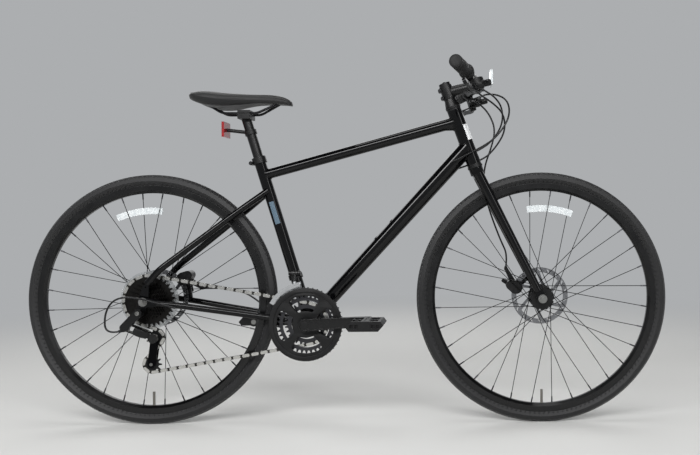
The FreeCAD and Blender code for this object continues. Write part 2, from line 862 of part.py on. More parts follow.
cover = taper(cover_foot, on_head(stem_low), cup_radius - 0.5, stem_clamp_radius - 2.0).cut(steerer_hole)
cap = cylinder(on_head(stem_high), on_head(stem_high + cap_height), stem_clamp_radius - 2.0)
export("stem", stem, faceplate, cover, cap)

# Handlebar and grips
wing = V(
    -math.sin(math.radians(bar_backsweep)),
    -math.cos(math.radians(bar_backsweep)) * math.cos(math.radians(bar_rise)),
    math.sin(math.radians(bar_rise)),
)
wing_length = (bar_half_width - bar_centre_straight) / -wing.y
right_bend = bar_centre - Y_AXIS * bar_centre_straight
right_end = right_bend + wing * wing_length
left_end = V(right_end.x, -right_end.y, right_end.z)
left_bend = V(right_bend.x, -right_bend.y, right_bend.z)
handlebar = bent_bar([right_end, right_bend, left_bend, left_end], bar_radius, largest=bar_bend)
bulge_end = Y_AXIS * bar_bulge_half
bulge_out = Y_AXIS * (bar_bulge_half + 16.0)
handlebar = handlebar.fuse(cylinder(bar_centre - bulge_end, bar_centre + bulge_end, bar_bulge_radius))
for side in (-1, 1):
    bulge_from, bulge_to = bar_centre + bulge_end * side, bar_centre + bulge_out * side
    handlebar = handlebar.fuse(taper(bulge_from, bulge_to, bar_bulge_radius, bar_radius - 0.5))
export("handlebar", handlebar)

grip_inner = right_end - wing * grip_length
grip_outer = right_end + wing * 3.0
grip = cylinder(grip_inner, grip_outer, grip_radius)
grip = grip.fuse(cylinder(grip_inner, grip_inner + wing * 5.0, grip_flange))
grip = grip.cut(cylinder(grip_inner, right_end, bar_radius))
export("grips", grip, mirrored(grip))

# Controls, drawn in the right hand's own frame: x runs outward along the bar, z up and back
control_at = right_end - wing * (grip_length + control_gap)
control_up = V(-0.37, 0, 0.93)
control_up = (control_up - wing * control_up.dot(wing)).normalize()
control_front = control_up.cross(wing)
control_frame = FreeCAD.Placement(control_at, FreeCAD.Rotation(wing, control_front, control_up, "XYZ"))


def at_control(shape):
    """Carry a piece from the control's own frame to its place on the right of the bar."""
    placed = shape.copy()
    placed.Placement = control_frame.multiply(shape.Placement)
    return placed


def control_point(x, y, z):
    return control_frame.multVec(V(x, y, z))


pivot = V(4, 0, -lever_pivot_drop)
cheek = lever_plate / 2 + lever_fit + 4.0
pod_centre = V(-22, 8, -27)
brake_barrel = V(-52, -8, -26)
pod = cylinder(V(-band_half, 0, 0), V(band_half, 0, 0), bar_radius + 5.0)
pod = pod.fuse(strap(V(-4, 0, -16), 9.0, pivot, lever_eye, -cheek, cheek))
pod = pod.cut(disc(pivot, -lever_plate / 2 - lever_fit, lever_plate / 2 + lever_fit, lever_eye + 3.0))
pod_low = pod_centre - Z_AXIS * (pod_height / 2)
pod_high = pod_centre + Z_AXIS * (pod_height / 2)
pod = pod.fuse(cylinder(pod_low, pod_high, pod_radius))
pod = pod.fuse(cylinder(pod_centre + V(-pod_radius + 4, 0, 0), pod_centre + V(-pod_radius - 16, 0, 0), 4.5))
pod = pod.fuse(cylinder(V(-6, -6, -26), brake_barrel, 5.0))
pod = pod.cut(cylinder(V(-60, 0, 0), V(60, 0, 0), bar_radius))
pod = pod.fuse(cylinder(pivot - Y_AXIS * cheek, pivot + Y_AXIS * cheek, 2.5))
shift_drop = 2 * (shift_plate + shift_fit)
pod = pod.fuse(cylinder(pod_low, pod_low - Z_AXIS * (shift_drop + 1.0), shift_axis_radius))
pod = at_control(pod.removeSplitter())
export("control_pod_right", pod)
export("control_pod_left", mirrored(pod))

lever_knee = pivot + V(32, 0, -6)
lever_tip = pivot + V(lever_length, 0, -2)
lever = strap(pivot, lever_eye - 0.5, lever_knee, 6.5, -lever_plate / 2, lever_plate / 2)
lever = lever.fuse(strap(lever_knee, 6.5, lever_tip, 5.5, -lever_plate / 2, lever_plate / 2))
lever = lever.fuse(disc(lever_tip, -lever_plate / 2, lever_plate / 2, 7.5))
lever = lever.cut(cylinder(pivot - Y_AXIS * 20, pivot + Y_AXIS * 20, 2.5 + bearing_fit))
lever = at_control(lever.removeSplitter())
export("brake_lever_right", lever)
export("brake_lever_left", mirrored(lever))


def make_shift_lever(level, reach_x, reach_y):
    """Flat lever on the pod's axis, with a rounded push pad at its tip."""
    start = pod_low - Z_AXIS * level
    span = math.hypot(reach_x, reach_y)
    body = strap(V(0, 0, 0), 9.0, V(span, 0, 0), 6.5, 0, shift_plate)
    body.rotate(V(0, 0, 0), X_AXIS, 90)
    body.rotate(V(0, 0, 0), Z_AXIS, math.degrees(math.atan2(reach_y, reach_x)))
    body.translate(start)
    return at_control(body.cut(cylinder(pod_high, pod_low - Z_AXIS * 30, shift_axis_radius + bearing_fit)))


release = make_shift_lever(shift_fit + shift_plate, 14, 30)
thumb = make_shift_lever(shift_fit + shift_plate + shift_fit + shift_plate, 13, -38)
export("release_lever_right", release)
export("release_lever_left", mirrored(release))
export("thumb_lever_right", thumb)
export("thumb_lever_left", mirrored(thumb))


# Seatpost with its two-piece clamp, rails, saddle and rear reflector
post_top = on_seat(seat_tube_length + seatpost_show)
rail_height = post_top.z + rail_above_post
saddle_top = rail_height + saddle_above_rails
saddle_tail = post_top.x - saddle_behind_post
reflector_ring_on_seat = seat_tube_length + reflector_ring_above_seat_top
rail_lines = []
for side in (-1, 1):
    rail_lines.append(
        bent_bar(
            [
                V(post_top.x - 100, side * (rail_spread + 12), rail_height + 26),
                V(post_top.x - 60, side * rail_spread, rail_height),
                V(post_top.x + 36, side * rail_spread, rail_height),
                V(post_top.x + 96, side * rail_spread * 0.4, rail_height + 30),
            ],
            rail_radius,
            largest=40.0,
        )
    )
cradle_half = cradle_length / 2
cradle_wide = rail_spread + rail_radius + 3.0
cradle = Part.makeBox(
    cradle_length, 2 * cradle_wide, 15.0, V(post_top.x - cradle_half, -cradle_wide, rail_height - 15.5)
)
clamp_top = Part.makeBox(
    cradle_length, 2 * cradle_wide, 8.0, V(post_top.x - cradle_half, -cradle_wide, rail_height + 0.5)
)
post = cylinder(on_seat(seat_tube_length - seat_insertion), post_top, seatpost_radius).fuse(cradle)
for rail in rail_lines:
    post = post.cut(rail)
    clamp_top = clamp_top.cut(rail)
export("seatpost", post.removeSplitter(), clamp_top)


def saddle_section(place, width, crown, edge, base):
    """Cross-section of the padding: flat base, sides drawn in below, crowned top."""
    x = saddle_tail + place * saddle_length
    half = width * saddle_width / 2
    top, middle, low = saddle_top + crown, saddle_top + edge, saddle_top + base
    left, right = V(x, half, middle), V(x, -half, middle)
    base_left, base_right = V(x, half * 0.8, low), V(x, -half * 0.8, low)
    return Part.Wire(
        [
            Part.LineSegment(base_right, right).toShape(),
            Part.Arc(right, V(x, 0, top), left).toShape(),
            Part.LineSegment(left, base_left).toShape(),
            Part.LineSegment(base_left, base_right).toShape(),
        ]
    )


saddle = Part.makeLoft(
    [
        saddle_section(0.0, 0.66, -9, -15, -24),
        saddle_section(0.06, 0.9, 2, -14, -34),
        saddle_section(0.22, 1.0, 0, -22, -46),
        saddle_section(0.4, 0.82, -5, -26, -47),
        saddle_section(0.58, 0.5, -7, -25, -38),
        saddle_section(0.78, 0.33, -8, -25, -36),
        saddle_section(0.93, 0.25, -16, -29, -38),
        saddle_section(1.0, 0.14, -31, -36, -41),
    ],
    True,
)
export("saddle", saddle)
export("saddle_rails", *[rail.cut(saddle) for rail in rail_lines])

ring_low, ring_high = on_seat(reflector_ring_on_seat - 6), on_seat(reflector_ring_on_seat + 6)
ring_middle = on_seat(reflector_ring_on_seat)
lens_back = ring_middle + V(-66, 0, 8)
rear_bracket = cylinder(ring_low, ring_high, seatpost_radius + 3.0)
rear_bracket = rear_bracket.fuse(cylinder(ring_middle, lens_back - X_AXIS, 5.0))
rear_bracket = rear_bracket.cut(cylinder(on_seat(0), post_top, seatpost_radius))
rear_lens = Part.makeBox(lens_depth, rear_lens_width, rear_lens_height)
rear_lens.translate(lens_back + V(-lens_depth, -rear_lens_width / 2, -rear_lens_height / 2))
rear_bracket = rear_bracket.cut(rear_lens)
export("rear_reflector", rear_bracket, rear_lens)

front_lens = Part.makeBox(lens_depth, front_lens_width, front_lens_height)
front_lens.translate(bar_centre + V(37, -front_lens_width / 2, -1))
bracket_y = Y_AXIS * (stem_face_width / 2 + 8.0)
bracket_half = Y_AXIS * 6.0
bracket_at = bar_centre + bracket_y
front_bracket = cylinder(bracket_at - bracket_half, bracket_at + bracket_half, bar_bulge_radius + 3.0)
front_bracket = front_bracket.fuse(cylinder(bracket_at, bar_centre + V(38, 24, 19), 5.0))
front_bracket = front_bracket.cut(cylinder(bar_centre - bulge_end, bar_centre + bulge_end, bar_bulge_radius))
export("front_reflector", front_bracket.cut(front_lens), front_lens)


# Disc calipers: a slotted body over the rotor's edge, a bracket and a cable arm
def make_caliper(axle, line, turn, reach):
    """Caliper body straddling the rotor at an angle around the axle."""
    angle = math.radians(turn)
    centre = axle + V(reach * math.cos(angle), 0, reach * math.sin(angle))
    outer = axle + V((reach + 16) * math.cos(angle), 0, (reach + 16) * math.sin(angle))
    body = strap(centre, caliper_radius, outer, 13.0, line - caliper_inner_depth, line + caliper_depth)
    body = body.cut(disc(axle, line - caliper_slot / 2, line + caliper_slot / 2, rotor_radius + 3.0))
    return centre, body


def make_caliper_arm(centre, line, turn):
    """Cable arm turning on the caliper's outer face."""
    angle = math.radians(turn)
    tip = centre + V(caliper_arm_length * math.cos(angle), 0, caliper_arm_length * math.sin(angle))
    low = line + caliper_depth + caliper_arm_fit
    arm = strap(centre, 10.0, tip, 5.0, low, low + caliper_arm_plate)
    return arm.cut(disc(centre, low - 1, low + caliper_arm_plate + 1, 4.0 + bearing_fit))


def caliper_pin(centre, line):
    low = line + caliper_depth
    return disc(centre, low - 2.0, low + caliper_arm_fit + caliper_arm_plate + 1.0, 4.0)


front_stop = (-27.0, 52.0)
rear_stop = (48.0, -28.0)
front_place = (front_caliper_turn, front_caliper_reach)
rear_place = (rear_caliper_turn, rear_caliper_reach)
front_centre, front_caliper = make_caliper(front_axle, front_rotor_line, *front_place)
rear_centre, rear_caliper = make_caliper(rear_axle, rear_rotor_line, *rear_place)
front_arm = make_caliper_arm(front_centre, front_rotor_line, front_arm_turn)
rear_arm = make_caliper_arm(rear_centre, rear_rotor_line, rear_arm_turn)
bracket_low = front_rotor_line + 13.0
front_mount = strap(front_centre, 12.0, front_axle + V(-30, 0, 58), 9.0, bracket_low, bracket_low + 6.0)
front_caliper = front_caliper.fuse(front_mount).fuse(caliper_pin(front_centre, front_rotor_line)).cut(fork)
front_arm_line = front_rotor_line + caliper_depth + caliper_arm_fit + caliper_arm_plate / 2
front_stop_at = front_centre + V(front_stop[0], front_arm_line, front_stop[1])
finger_low = front_rotor_line + 12.0
finger_high = front_rotor_line + caliper_depth
front_caliper = front_caliper.fuse(strap(front_centre, 9.0, front_stop_at, 5.0, finger_low, finger_high))
front_stop_dir = V(0.12, 0, 1).normalize()
front_stop_reach = front_stop_dir * stop_half
front_barrel = cylinder(front_stop_at - front_stop_reach, front_stop_at + front_stop_reach, stop_radius)
front_caliper = front_caliper.fuse(front_barrel)
bracket_low = rear_rotor_line + 6.0
rear_mount = strap(rear_centre, 12.0, stay_seat + V(40, 0, 0), 8.0, bracket_low, bracket_low + 7.0)
rear_caliper = rear_caliper.fuse(rear_mount).fuse(caliper_pin(rear_centre, rear_rotor_line))
rear_caliper = rear_caliper.cut(chainstays[1])
rear_arm_line = rear_rotor_line + caliper_depth + caliper_arm_fit + caliper_arm_plate / 2
rear_stop_at = rear_centre + V(rear_stop[0], rear_arm_line, rear_stop[1])
finger_low = rear_rotor_line + 12.0
finger_high = rear_rotor_line + caliper_depth
rear_caliper = rear_caliper.fuse(strap(rear_centre, 9.0, rear_stop_at, 5.0, finger_low, finger_high))
rear_caliper = rear_caliper.fuse(
    cylinder(rear_stop_at - X_AXIS * stop_half, rear_stop_at + X_AXIS * stop_half, stop_radius)
)
export("front_caliper", front_caliper)
export("rear_caliper", rear_caliper)
export("front_caliper_arm", front_arm)
export("rear_caliper_arm", rear_arm)


# Chain: pins on a loop around ring, tension pulley, guide pulley and largest cog
guide = rear_axle + V(guide_pulley_place[0], 0, guide_pulley_place[1])
tension = rear_axle + V(tension_pulley_place[0], 0, tension_pulley_place[1])
chain_wheels = [
    (bb, pitch_radius(ring_teeth[0]), -1, -ring_lines[0]),
    (tension, pitch_radius(pulley_teeth), -1, -cage_line),
    (guide, pitch_radius(pulley_teeth), 1, -cage_line),
    (rear_axle, pitch_radius(cog_teeth[0]), -1, -largest_cog_line),
]


def belt_tangent(first, second):
    """Leaving and arriving points of the straight run between two turning wheels."""
    centre0, radius0, sense0, y0 = first
    centre1, radius1, sense1, y1 = second
    dx, dz = centre1.x - centre0.x, centre1.z - centre0.z
    span = math.hypot(dx, dz)
    heading = math.atan2(dz, dx) - math.asin((sense1 * radius1 - sense0 * radius0) / span)
    side = V(math.sin(heading), 0, -math.cos(heading))
    leave = centre0 + side * (sense0 * radius0) + V(0, y0, 0)
    arrive = centre1 + side * (sense1 * radius1) + V(0, y1, 0)
    return leave, arrive


runs = [belt_tangent(chain_wheels[k], chain_wheels[(k + 1) % 4]) for k in range(4)]
stretches = []
for k in range(4):
    centre, radius, sense, y = chain_wheels[k]
    arrive, leave = runs[k - 1][1], runs[k][0]
    start = math.atan2(arrive.z - centre.z, arrive.x - centre.x)
    stop = math.atan2(leave.z - centre.z, leave.x - centre.x)
    wrap = ((stop - start) * sense) % (2 * math.pi)
    stretches.append(("arc", radius * wrap, centre, radius, start, sense, y))
    stretches.append(("run", (runs[k][1] - runs[k][0]).Length, runs[k][0], runs[k][1]))
chain_length = sum(stretch[1] for stretch in stretches)
link_count = 2 * round(chain_length / chain_pitch / 2)
link_pitch = chain_length / link_count


def on_chain(distance):
    """Place of a pin at a distance along the chain loop."""
    distance = distance % chain_length
    for stretch in stretches:
        if distance <= stretch[1]:
            break
        distance -= stretch[1]
    if stretch[0] == "run":
        return stretch[2] + (stretch[3] - stretch[2]) * (distance / stretch[1])
    centre, radius, start, sense, y = stretch[2:]
    angle = start + sense * distance / radius
    return centre + V(radius * math.cos(angle), y, radius * math.sin(angle))


def wheel_phase(index):
    """Angle of the pin nearest the middle of a wheel's wrap, so that teeth stand between pins."""
    before = sum(stretch[1] for stretch in stretches[: 2 * index])
    middle = before + stretches[2 * index][1] / 2
    pin = on_chain(round(middle / link_pitch) * link_pitch)
    centre = chain_wheels[index][0]
    return math.atan2(pin.z - centre.z, pin.x - centre.x)


link_end = chain_plate_height / 2
link_corner = link_end * 0.45
links = []
for k in range(link_count):
    first, second = on_chain(k * link_pitch), on_chain((k + 1) * link_pitch)
    along = (second - first).normalize()
    across = (Y_AXIS - along * along.y).normalize()
    place = FreeCAD.Placement(first, FreeCAD.Rotation(along, across, along.cross(across), "XYZ"))
    span = (second - first).Length
    outline = [
        (-link_end, 0),
        (-link_corner, -link_end),
        (span + link_corner, -link_end),
        (span + link_end, 0),
        (span + link_corner, link_end),
        (-link_corner, link_end),
    ]
    near = link_inner_gap if k % 2 else link_inner_gap + chain_plate + plate_gap
    pieces = [plate(outline, near, near + chain_plate), plate(outline, -near - chain_plate, -near)]
    if k % 2:
        body = pieces[0].fuse(pieces[1])
        for x in (0, span):
            body = body.fuse(beam(V(x, -near - 0.1, 0), V(x, near + 0.1, 0), roller_radius, 6))
        pieces = [body]
    for piece in pieces:
        piece.Placement = place.multiply(piece.Placement)
        links.append(piece)
export("chain", *links)

# Freewheel: seven sprockets on one body that turns on the hub's neck
freewheel_low = largest_cog_line - 3.0
freewheel_high = largest_cog_line + (len(cog_teeth) - 1) * cog_spacing + 1.5
freewheel_bore = freewheel_neck + bearing_fit
cogs = [disc(rear_axle, -freewheel_high, -freewheel_low, freewheel_body_radius, freewheel_bore)]
for k, teeth in enumerate(cog_teeth):
    line = largest_cog_line + k * cog_spacing
    phase = wheel_phase(3) if k == 0 else 0.0
    cogs.append(toothed_disc(rear_axle, teeth, line, cog_plate, freewheel_body_radius, phase))
export("freewheel_cogs", *cogs)

# Chainrings on tabs, and the guard with four round windows
ring_bores = (42.0, 64.0, 83.0)
spider_turns = [math.radians(crank_pose + 45 + 90 * k) for k in range(4)]


def round_crank(reach, turn):
    """Place around the crank axis at a distance and angle."""
    return bb + V(reach * math.cos(turn), 0, reach * math.sin(turn))


rings = []
for k, (teeth, line, bore) in enumerate(zip(ring_teeth, ring_lines, ring_bores)):
    ring = toothed_disc(bb, teeth, line, ring_plate, bore, wheel_phase(0) if k == 0 else 0.0)
    if k > 0:
        for turn in spider_turns:
            low, high = -line - ring_plate / 2, -line + ring_plate / 2
            tab = strap(round_crank(bolt_reach, turn), 8.0, round_crank(bore + 3.0, turn), 12.0, low, high)
            ring = ring.fuse(tab)
        ring = ring.removeSplitter()
    rings.append(ring)
spider_low = ring_lines[1] + ring_plate / 2
spider_high = ring_lines[2] - ring_plate / 2
standoffs = []
for turn in spider_turns:
    place = round_crank(bolt_reach, turn)
    standoffs.append(disc(place, -ring_lines[1] + ring_plate / 2, -ring_lines[0] - ring_plate / 2, 5.0))
export("chainrings", *rings, *standoffs)

guard_low, guard_high = -guard_line - guard_plate / 2, -guard_line + guard_plate / 2
guard = disc(bb, guard_low, guard_high, guard_radius, boss_radius_crank)
guard = guard.fuse(disc(bb, guard_low - guard_lip, guard_low, guard_radius, guard_radius - 5.0))
for turn in spider_turns:
    post_at = round_crank(bolt_reach + 18.0, turn)
    guard = guard.fuse(disc(post_at, guard_high, -ring_lines[2] - ring_plate / 2, 5.0))
for k in range(4):
    middle = round_crank(guard_window_reach, math.radians(crank_pose + 90 * k))
    window = disc(middle, guard_low - 1, guard_high + 1, guard_window_radius)
    guard = guard.cut(window.common(disc(bb, guard_low - 1, guard_high + 1, guard_inner_radius)))
export("chain_guard", guard.removeSplitter())

# Crank arms, spindles and pedals
boss_inner = shell_width / 2 + 3.5
arm_outer = arm_line + arm_plate
arm_dir = V(math.cos(math.radians(crank_pose)), 0, math.sin(math.radians(crank_pose)))
right_pedal = bb + arm_dir * crank_length
left_pedal = bb - arm_dir * crank_length


def make_arm(pedal, side):
    """Crank arm with its boss on the spindle and an eye for the pedal."""
    low, high = (-arm_outer, -arm_line) if side < 0 else (arm_line, arm_outer)
    boss_low, boss_high = (-arm_outer, -boss_inner) if side < 0 else (boss_inner, arm_outer)
    arm = strap(bb, 17.0, pedal, 13.0, low, high)
    arm = arm.fuse(disc(bb, boss_low, boss_high, boss_radius_crank))
    if side < 0:
        for turn in spider_turns:
            arm = arm.fuse(strap(bb, 15.0, round_crank(bolt_reach, turn), 8.0, -spider_high, -spider_low))
    if side < 0:
        arm = arm.cut(disc(bb, boss_low + cap_depth, boss_high + 1, spindle_radius))
    else:
        arm = arm.cut(disc(bb, boss_low - 1, boss_high - cap_depth, spindle_radius))
    return arm.cut(disc(pedal, low - 1, high + 1, pedal_thread)).removeSplitter()


crank_spindle = disc(bb, -arm_outer + cap_depth, arm_outer - cap_depth, spindle_radius)
pedal_inner = arm_outer + pedal_gap
pedal_outer = pedal_inner + pedal_width


def make_pedal_spindle(pedal, side):
    thread = disc(pedal, arm_line, arm_outer, pedal_thread)
    collar = disc(pedal, arm_outer, pedal_inner - 1.0, pedal_thread + 1.5)
    shaft = disc(pedal, pedal_inner - 1.0, pedal_outer - 12.0, pedal_spindle_radius)
    shape = thread.fuse(collar).fuse(shaft)
    return shape if side > 0 else mirrored(shape)


export("crank_arm_right", make_arm(right_pedal, -1), make_pedal_spindle(right_pedal, -1))
export("crank_arm_left", make_arm(left_pedal, 1), make_pedal_spindle(left_pedal, 1), crank_spindle)


def make_pedal(pedal, side):
    """Moulded platform pedal: slanted end profile, four windows and a spindle barrel."""
    half, rise = pedal_length / 2, pedal_height / 2
    outline = [
        (pedal.x - half, pedal.z - rise * 0.2),
        (pedal.x - half + 8, pedal.z - rise),
        (pedal.x + half - 14, pedal.z - rise),
        (pedal.x + half, pedal.z + rise * 0.2),
        (pedal.x + half - 8, pedal.z + rise),
        (pedal.x - half + 14, pedal.z + rise),
    ]
    body = plate(outline, pedal_inner, pedal_outer)
    barrel = 10.0
    wall = 9.0
    window_y = (pedal_width - 3 * wall) / 2
    for x0, x1 in ((-half + wall + 6, -barrel - 1), (barrel + 1, half - wall - 6)):
        for k in range(2):
            y0 = pedal_inner + wall + k * (window_y + wall)
            body = body.cut(
                Part.makeBox(x1 - x0, window_y, 4 * rise, V(pedal.x + x0, y0, pedal.z - 2 * rise))
            )
    for x in (-34.0, -21.0, 21.0, 34.0):
        body = body.cut(Part.makeBox(9.0, 5.0, 9.0, V(pedal.x + x - 4.5, pedal_outer - 5.0, pedal.z - 4.5)))
    for x in (-24.0, -12.0, 0.0, 12.0, 24.0):
        for z in (pedal.z - rise - 3.0, pedal.z + rise):
            notch_at = V(pedal.x + x - 3.0, pedal_inner + wall, z - 1.5)
            body = body.cut(Part.makeBox(6.0, pedal_width - 2 * wall, 6.0, notch_at))
    body = body.cut(disc(pedal, pedal_inner - 1, pedal_outer - 9.0, pedal_spindle_radius + pedal_fit))
    return body if side > 0 else mirrored(body.removeSplitter())


export("pedal_right", make_pedal(right_pedal, -1))
export("pedal_left", make_pedal(left_pedal, 1))


# Rear derailleur: body on the hanger, one swinging link, lower knuckle, cage and two pulleys
slant = math.radians(link_slant)
swing = math.radians(link_swing)
link_axis = V(math.cos(slant), 0, math.sin(slant))
link_down = V(math.sin(slant), 0, -math.cos(slant))
link_dir = link_down * math.cos(swing) + Y_AXIS * math.sin(swing)
knuckle_line = cage_line + 16.0
lower_pin = guide - link_down * knuckle_drop - Y_AXIS * knuckle_line
upper_pin = lower_pin - link_dir * link_length
hanger_face = rear_ends / 2 + dropout_plate


def make_lug(pin):
    """Round lug along the link's axis."""
    return cylinder(pin - link_axis * lug_half, pin + link_axis * lug_half, link_eye)


def pin_hole(pin):
    return cylinder(pin - link_axis * 30, pin + link_axis * 30, link_pin + bearing_fit)


body_high = upper_pin.y - link_eye - 1.5
upper_body = strap(hanger, 11.0, upper_pin, 11.0, body_high - body_depth, body_high)
upper_body = upper_body.fuse(disc(hanger, body_high, -hanger_face, 11.0))
upper_neck = V(upper_pin.x, body_high - 4.0, upper_pin.z)
upper_body = upper_body.fuse(cylinder(upper_neck, upper_pin, link_eye - 0.7)).fuse(make_lug(upper_pin))
barrel_start = V(upper_pin.x, body_high - body_depth / 2, upper_pin.z - 7)
barrel_end = barrel_start + V(-15, 0, -3)
upper_body = upper_body.fuse(cylinder(barrel_start, barrel_end, 4.0))
hanger_bolt = disc(hanger, -hanger_face - 1.0, -hanger_face + dropout_plate, thread_radius * 2)
upper_body = upper_body.fuse(hanger_bolt).cut(pin_hole(upper_pin))
export("derailleur_body", upper_body.removeSplitter())

link_turn = FreeCAD.Rotation(link_dir, link_axis, link_dir.cross(link_axis), "XYZ")
link_frame = FreeCAD.Placement(upper_pin, link_turn)
link = None
for side in (-1, 1):
    near, far = lug_half + link_gap, lug_half + link_gap + link_plate
    low, high = (near, far) if side > 0 else (-far, -near)
    blade = strap(V(0, 0, 0), link_eye, V(link_length, 0, 0), link_eye, low, high)
    link = blade if link is None else link.fuse(blade)
for x in (0, link_length):
    link = link.fuse(cylinder(V(x, -lug_half - 1, 0), V(x, lug_half + 1, 0), link_pin))
link.Placement = link_frame.multiply(link.Placement)
export("derailleur_link", link)

knuckle_inner = cage_line + 12.0
knuckle_outer = knuckle_line + 8.0
knuckle = disc(guide, -knuckle_outer, -knuckle_inner, knuckle_radius)
knuckle = knuckle.fuse(strap(lower_pin, 6.5, guide, 6.5, -knuckle_outer + 2.0, -knuckle_inner))
knuckle = knuckle.fuse(make_lug(lower_pin)).cut(pin_hole(lower_pin))
knuckle = knuckle.cut(disc(guide, -knuckle_outer + 2.0, -knuckle_inner + 1.0, cage_pin + bearing_fit))
export("derailleur_knuckle", knuckle.removeSplitter())

cage_outer = cage_line + cage_inner_half
cage_nearer = cage_line - cage_inner_half
cage = strap(guide, cage_eye, tension, cage_eye, -cage_outer - cage_plate, -cage_outer)
cage = cage.fuse(strap(guide, cage_eye, tension, cage_eye, -cage_nearer, -cage_nearer + cage_plate))
for place in (guide, tension):
    cage = cage.fuse(disc(place, -cage_outer, -cage_nearer, pulley_bolt))
cage = cage.fuse(disc(guide, -knuckle_inner + pulley_fit, -cage_outer, 9.0))
cage = cage.fuse(disc(guide, -knuckle_outer + 3.0, -cage_outer, cage_pin))
export("derailleur_cage", cage.removeSplitter())


def make_pulley(place, phase):
    """Toothed pulley with a hub running on its bolt between the cage plates."""
    bore = pulley_bolt + bearing_fit
    hub = disc(place, -cage_outer + pulley_fit, -cage_nearer - pulley_fit, 7.0, bore)
    return toothed_disc(place, pulley_teeth, cage_line, pulley_plate, bore, phase).fuse(hub)


export("tension_pulley", make_pulley(tension, wheel_phase(1)))
export("guide_pulley", make_pulley(guide, wheel_phase(2)))

# Front derailleur: clamp on the seat tube and a cage that swings over the rings
shifter_pin = on_seat(shifter_on_seat) + V(3, -26, 11)
shifter_low, shifter_high = on_seat(shifter_on_seat - shifter_ring), on_seat(shifter_on_seat + shifter_ring)
shifter_body = cylinder(shifter_low, shifter_high, 19.5)
for side in (-1, 1):
    lug0 = shifter_pin + X_AXIS * (side * (arm_half + link_gap))
    lug1 = shifter_pin + X_AXIS * (side * (arm_half + link_gap + 8.0))
    shifter_body = shifter_body.fuse(cylinder(lug0, lug1, shifter_eye))
    middle = (lug0 + lug1) * 0.5
    root = V(middle.x, -8, middle.z - 8)
    shifter_body = shifter_body.fuse(cylinder(middle, root, 4.0))
shifter_body = shifter_body.fuse(cylinder(shifter_pin - X_AXIS * 12, shifter_pin + X_AXIS * 12, link_pin))
shifter_body = shifter_body.cut(seat_space)
export("front_derailleur", shifter_body.removeSplitter())


def cage_arc(inner, y0, y1):
    """Part of a ring about the bottom bracket between the cage's two ends."""
    start, end = math.radians(shifter_cage_start), math.radians(shifter_cage_end)
    reach = 2 * shifter_cage_outer
    middle = (start + end) / 2
    wedge = plate(
        [
            (bb.x, bb.z),
            (bb.x + reach * math.cos(start), bb.z + reach * math.sin(start)),
            (bb.x + reach * math.cos(middle), bb.z + reach * math.sin(middle)),
            (bb.x + reach * math.cos(end), bb.z + reach * math.sin(end)),
        ],
        y0,
        y1,
    )
    return disc(bb, y0, y1, shifter_cage_outer, inner).common(wedge)


shifter_inner_line = ring_lines[0] - 8.5
shifter_outer_line = ring_lines[0] + 8.0
shifter_cage = cage_arc(86.0, -shifter_inner_line, -shifter_inner_line + shifter_plate)
shifter_cage = shifter_cage.fuse(
    cage_arc(shifter_cage_inner, -shifter_outer_line, -shifter_outer_line + shifter_plate)
)
bridge_radius = (shifter_cage_inner + shifter_cage_outer) / 2
for turn in (shifter_cage_start + 3, shifter_cage_end - 3):
    a = math.radians(turn)
    place = bb + V(bridge_radius * math.cos(a), 0, bridge_radius * math.sin(a))
    bridge_high = -shifter_inner_line + shifter_plate
    shifter_cage = shifter_cage.fuse(disc(place, -shifter_outer_line, bridge_high, 4.0))
arm_low = V(shifter_pin.x, -shifter_inner_line + shifter_plate - 0.2, bb.z + 104.0)
shifter_cage = shifter_cage.fuse(cylinder(shifter_pin, arm_low, 4.5))
shifter_cage = shifter_cage.fuse(
    cylinder(shifter_pin - X_AXIS * arm_half, shifter_pin + X_AXIS * arm_half, shifter_eye)
)
shifter_cage = shifter_cage.cut(
    cylinder(shifter_pin - X_AXIS * 30, shifter_pin + X_AXIS * 30, link_pin + bearing_fit)
)
export("front_derailleur_cage", shifter_cage)


# Cables: housings in tangent arcs, held at both ends by stops, barrels and frame ports
shift_exit = control_point(pod_centre.x - pod_radius - 16 - cable_fit, pod_centre.y, pod_centre.z)
brake_exit = control_point(brake_barrel.x - cable_fit, brake_barrel.y, brake_barrel.z)
shift_lead = control_point(pod_centre.x - pod_radius - 34, pod_centre.y, pod_centre.z)
brake_lead = control_point(brake_barrel.x - 20, brake_barrel.y - 0.9, brake_barrel.z)


def make_cable(name, points):
    """Round housing along its route; keeps its length and tightest bend for the report."""
    wire = bent_wire(points)
    bends = [edge.Curve.Radius for edge in wire.Edges if hasattr(edge.Curve, "Radius")]
    solid = bent_bar(points, cable_radius)
    share = solid.Volume / (math.pi * cable_radius**2 * wire.Length)
    print(name, "length %.0f, tightest bend %.1f, volume share %.3f" % (wire.Length, min(bends), share))
    return solid


def other_side(point):
    return V(point.x, -point.y, point.z)


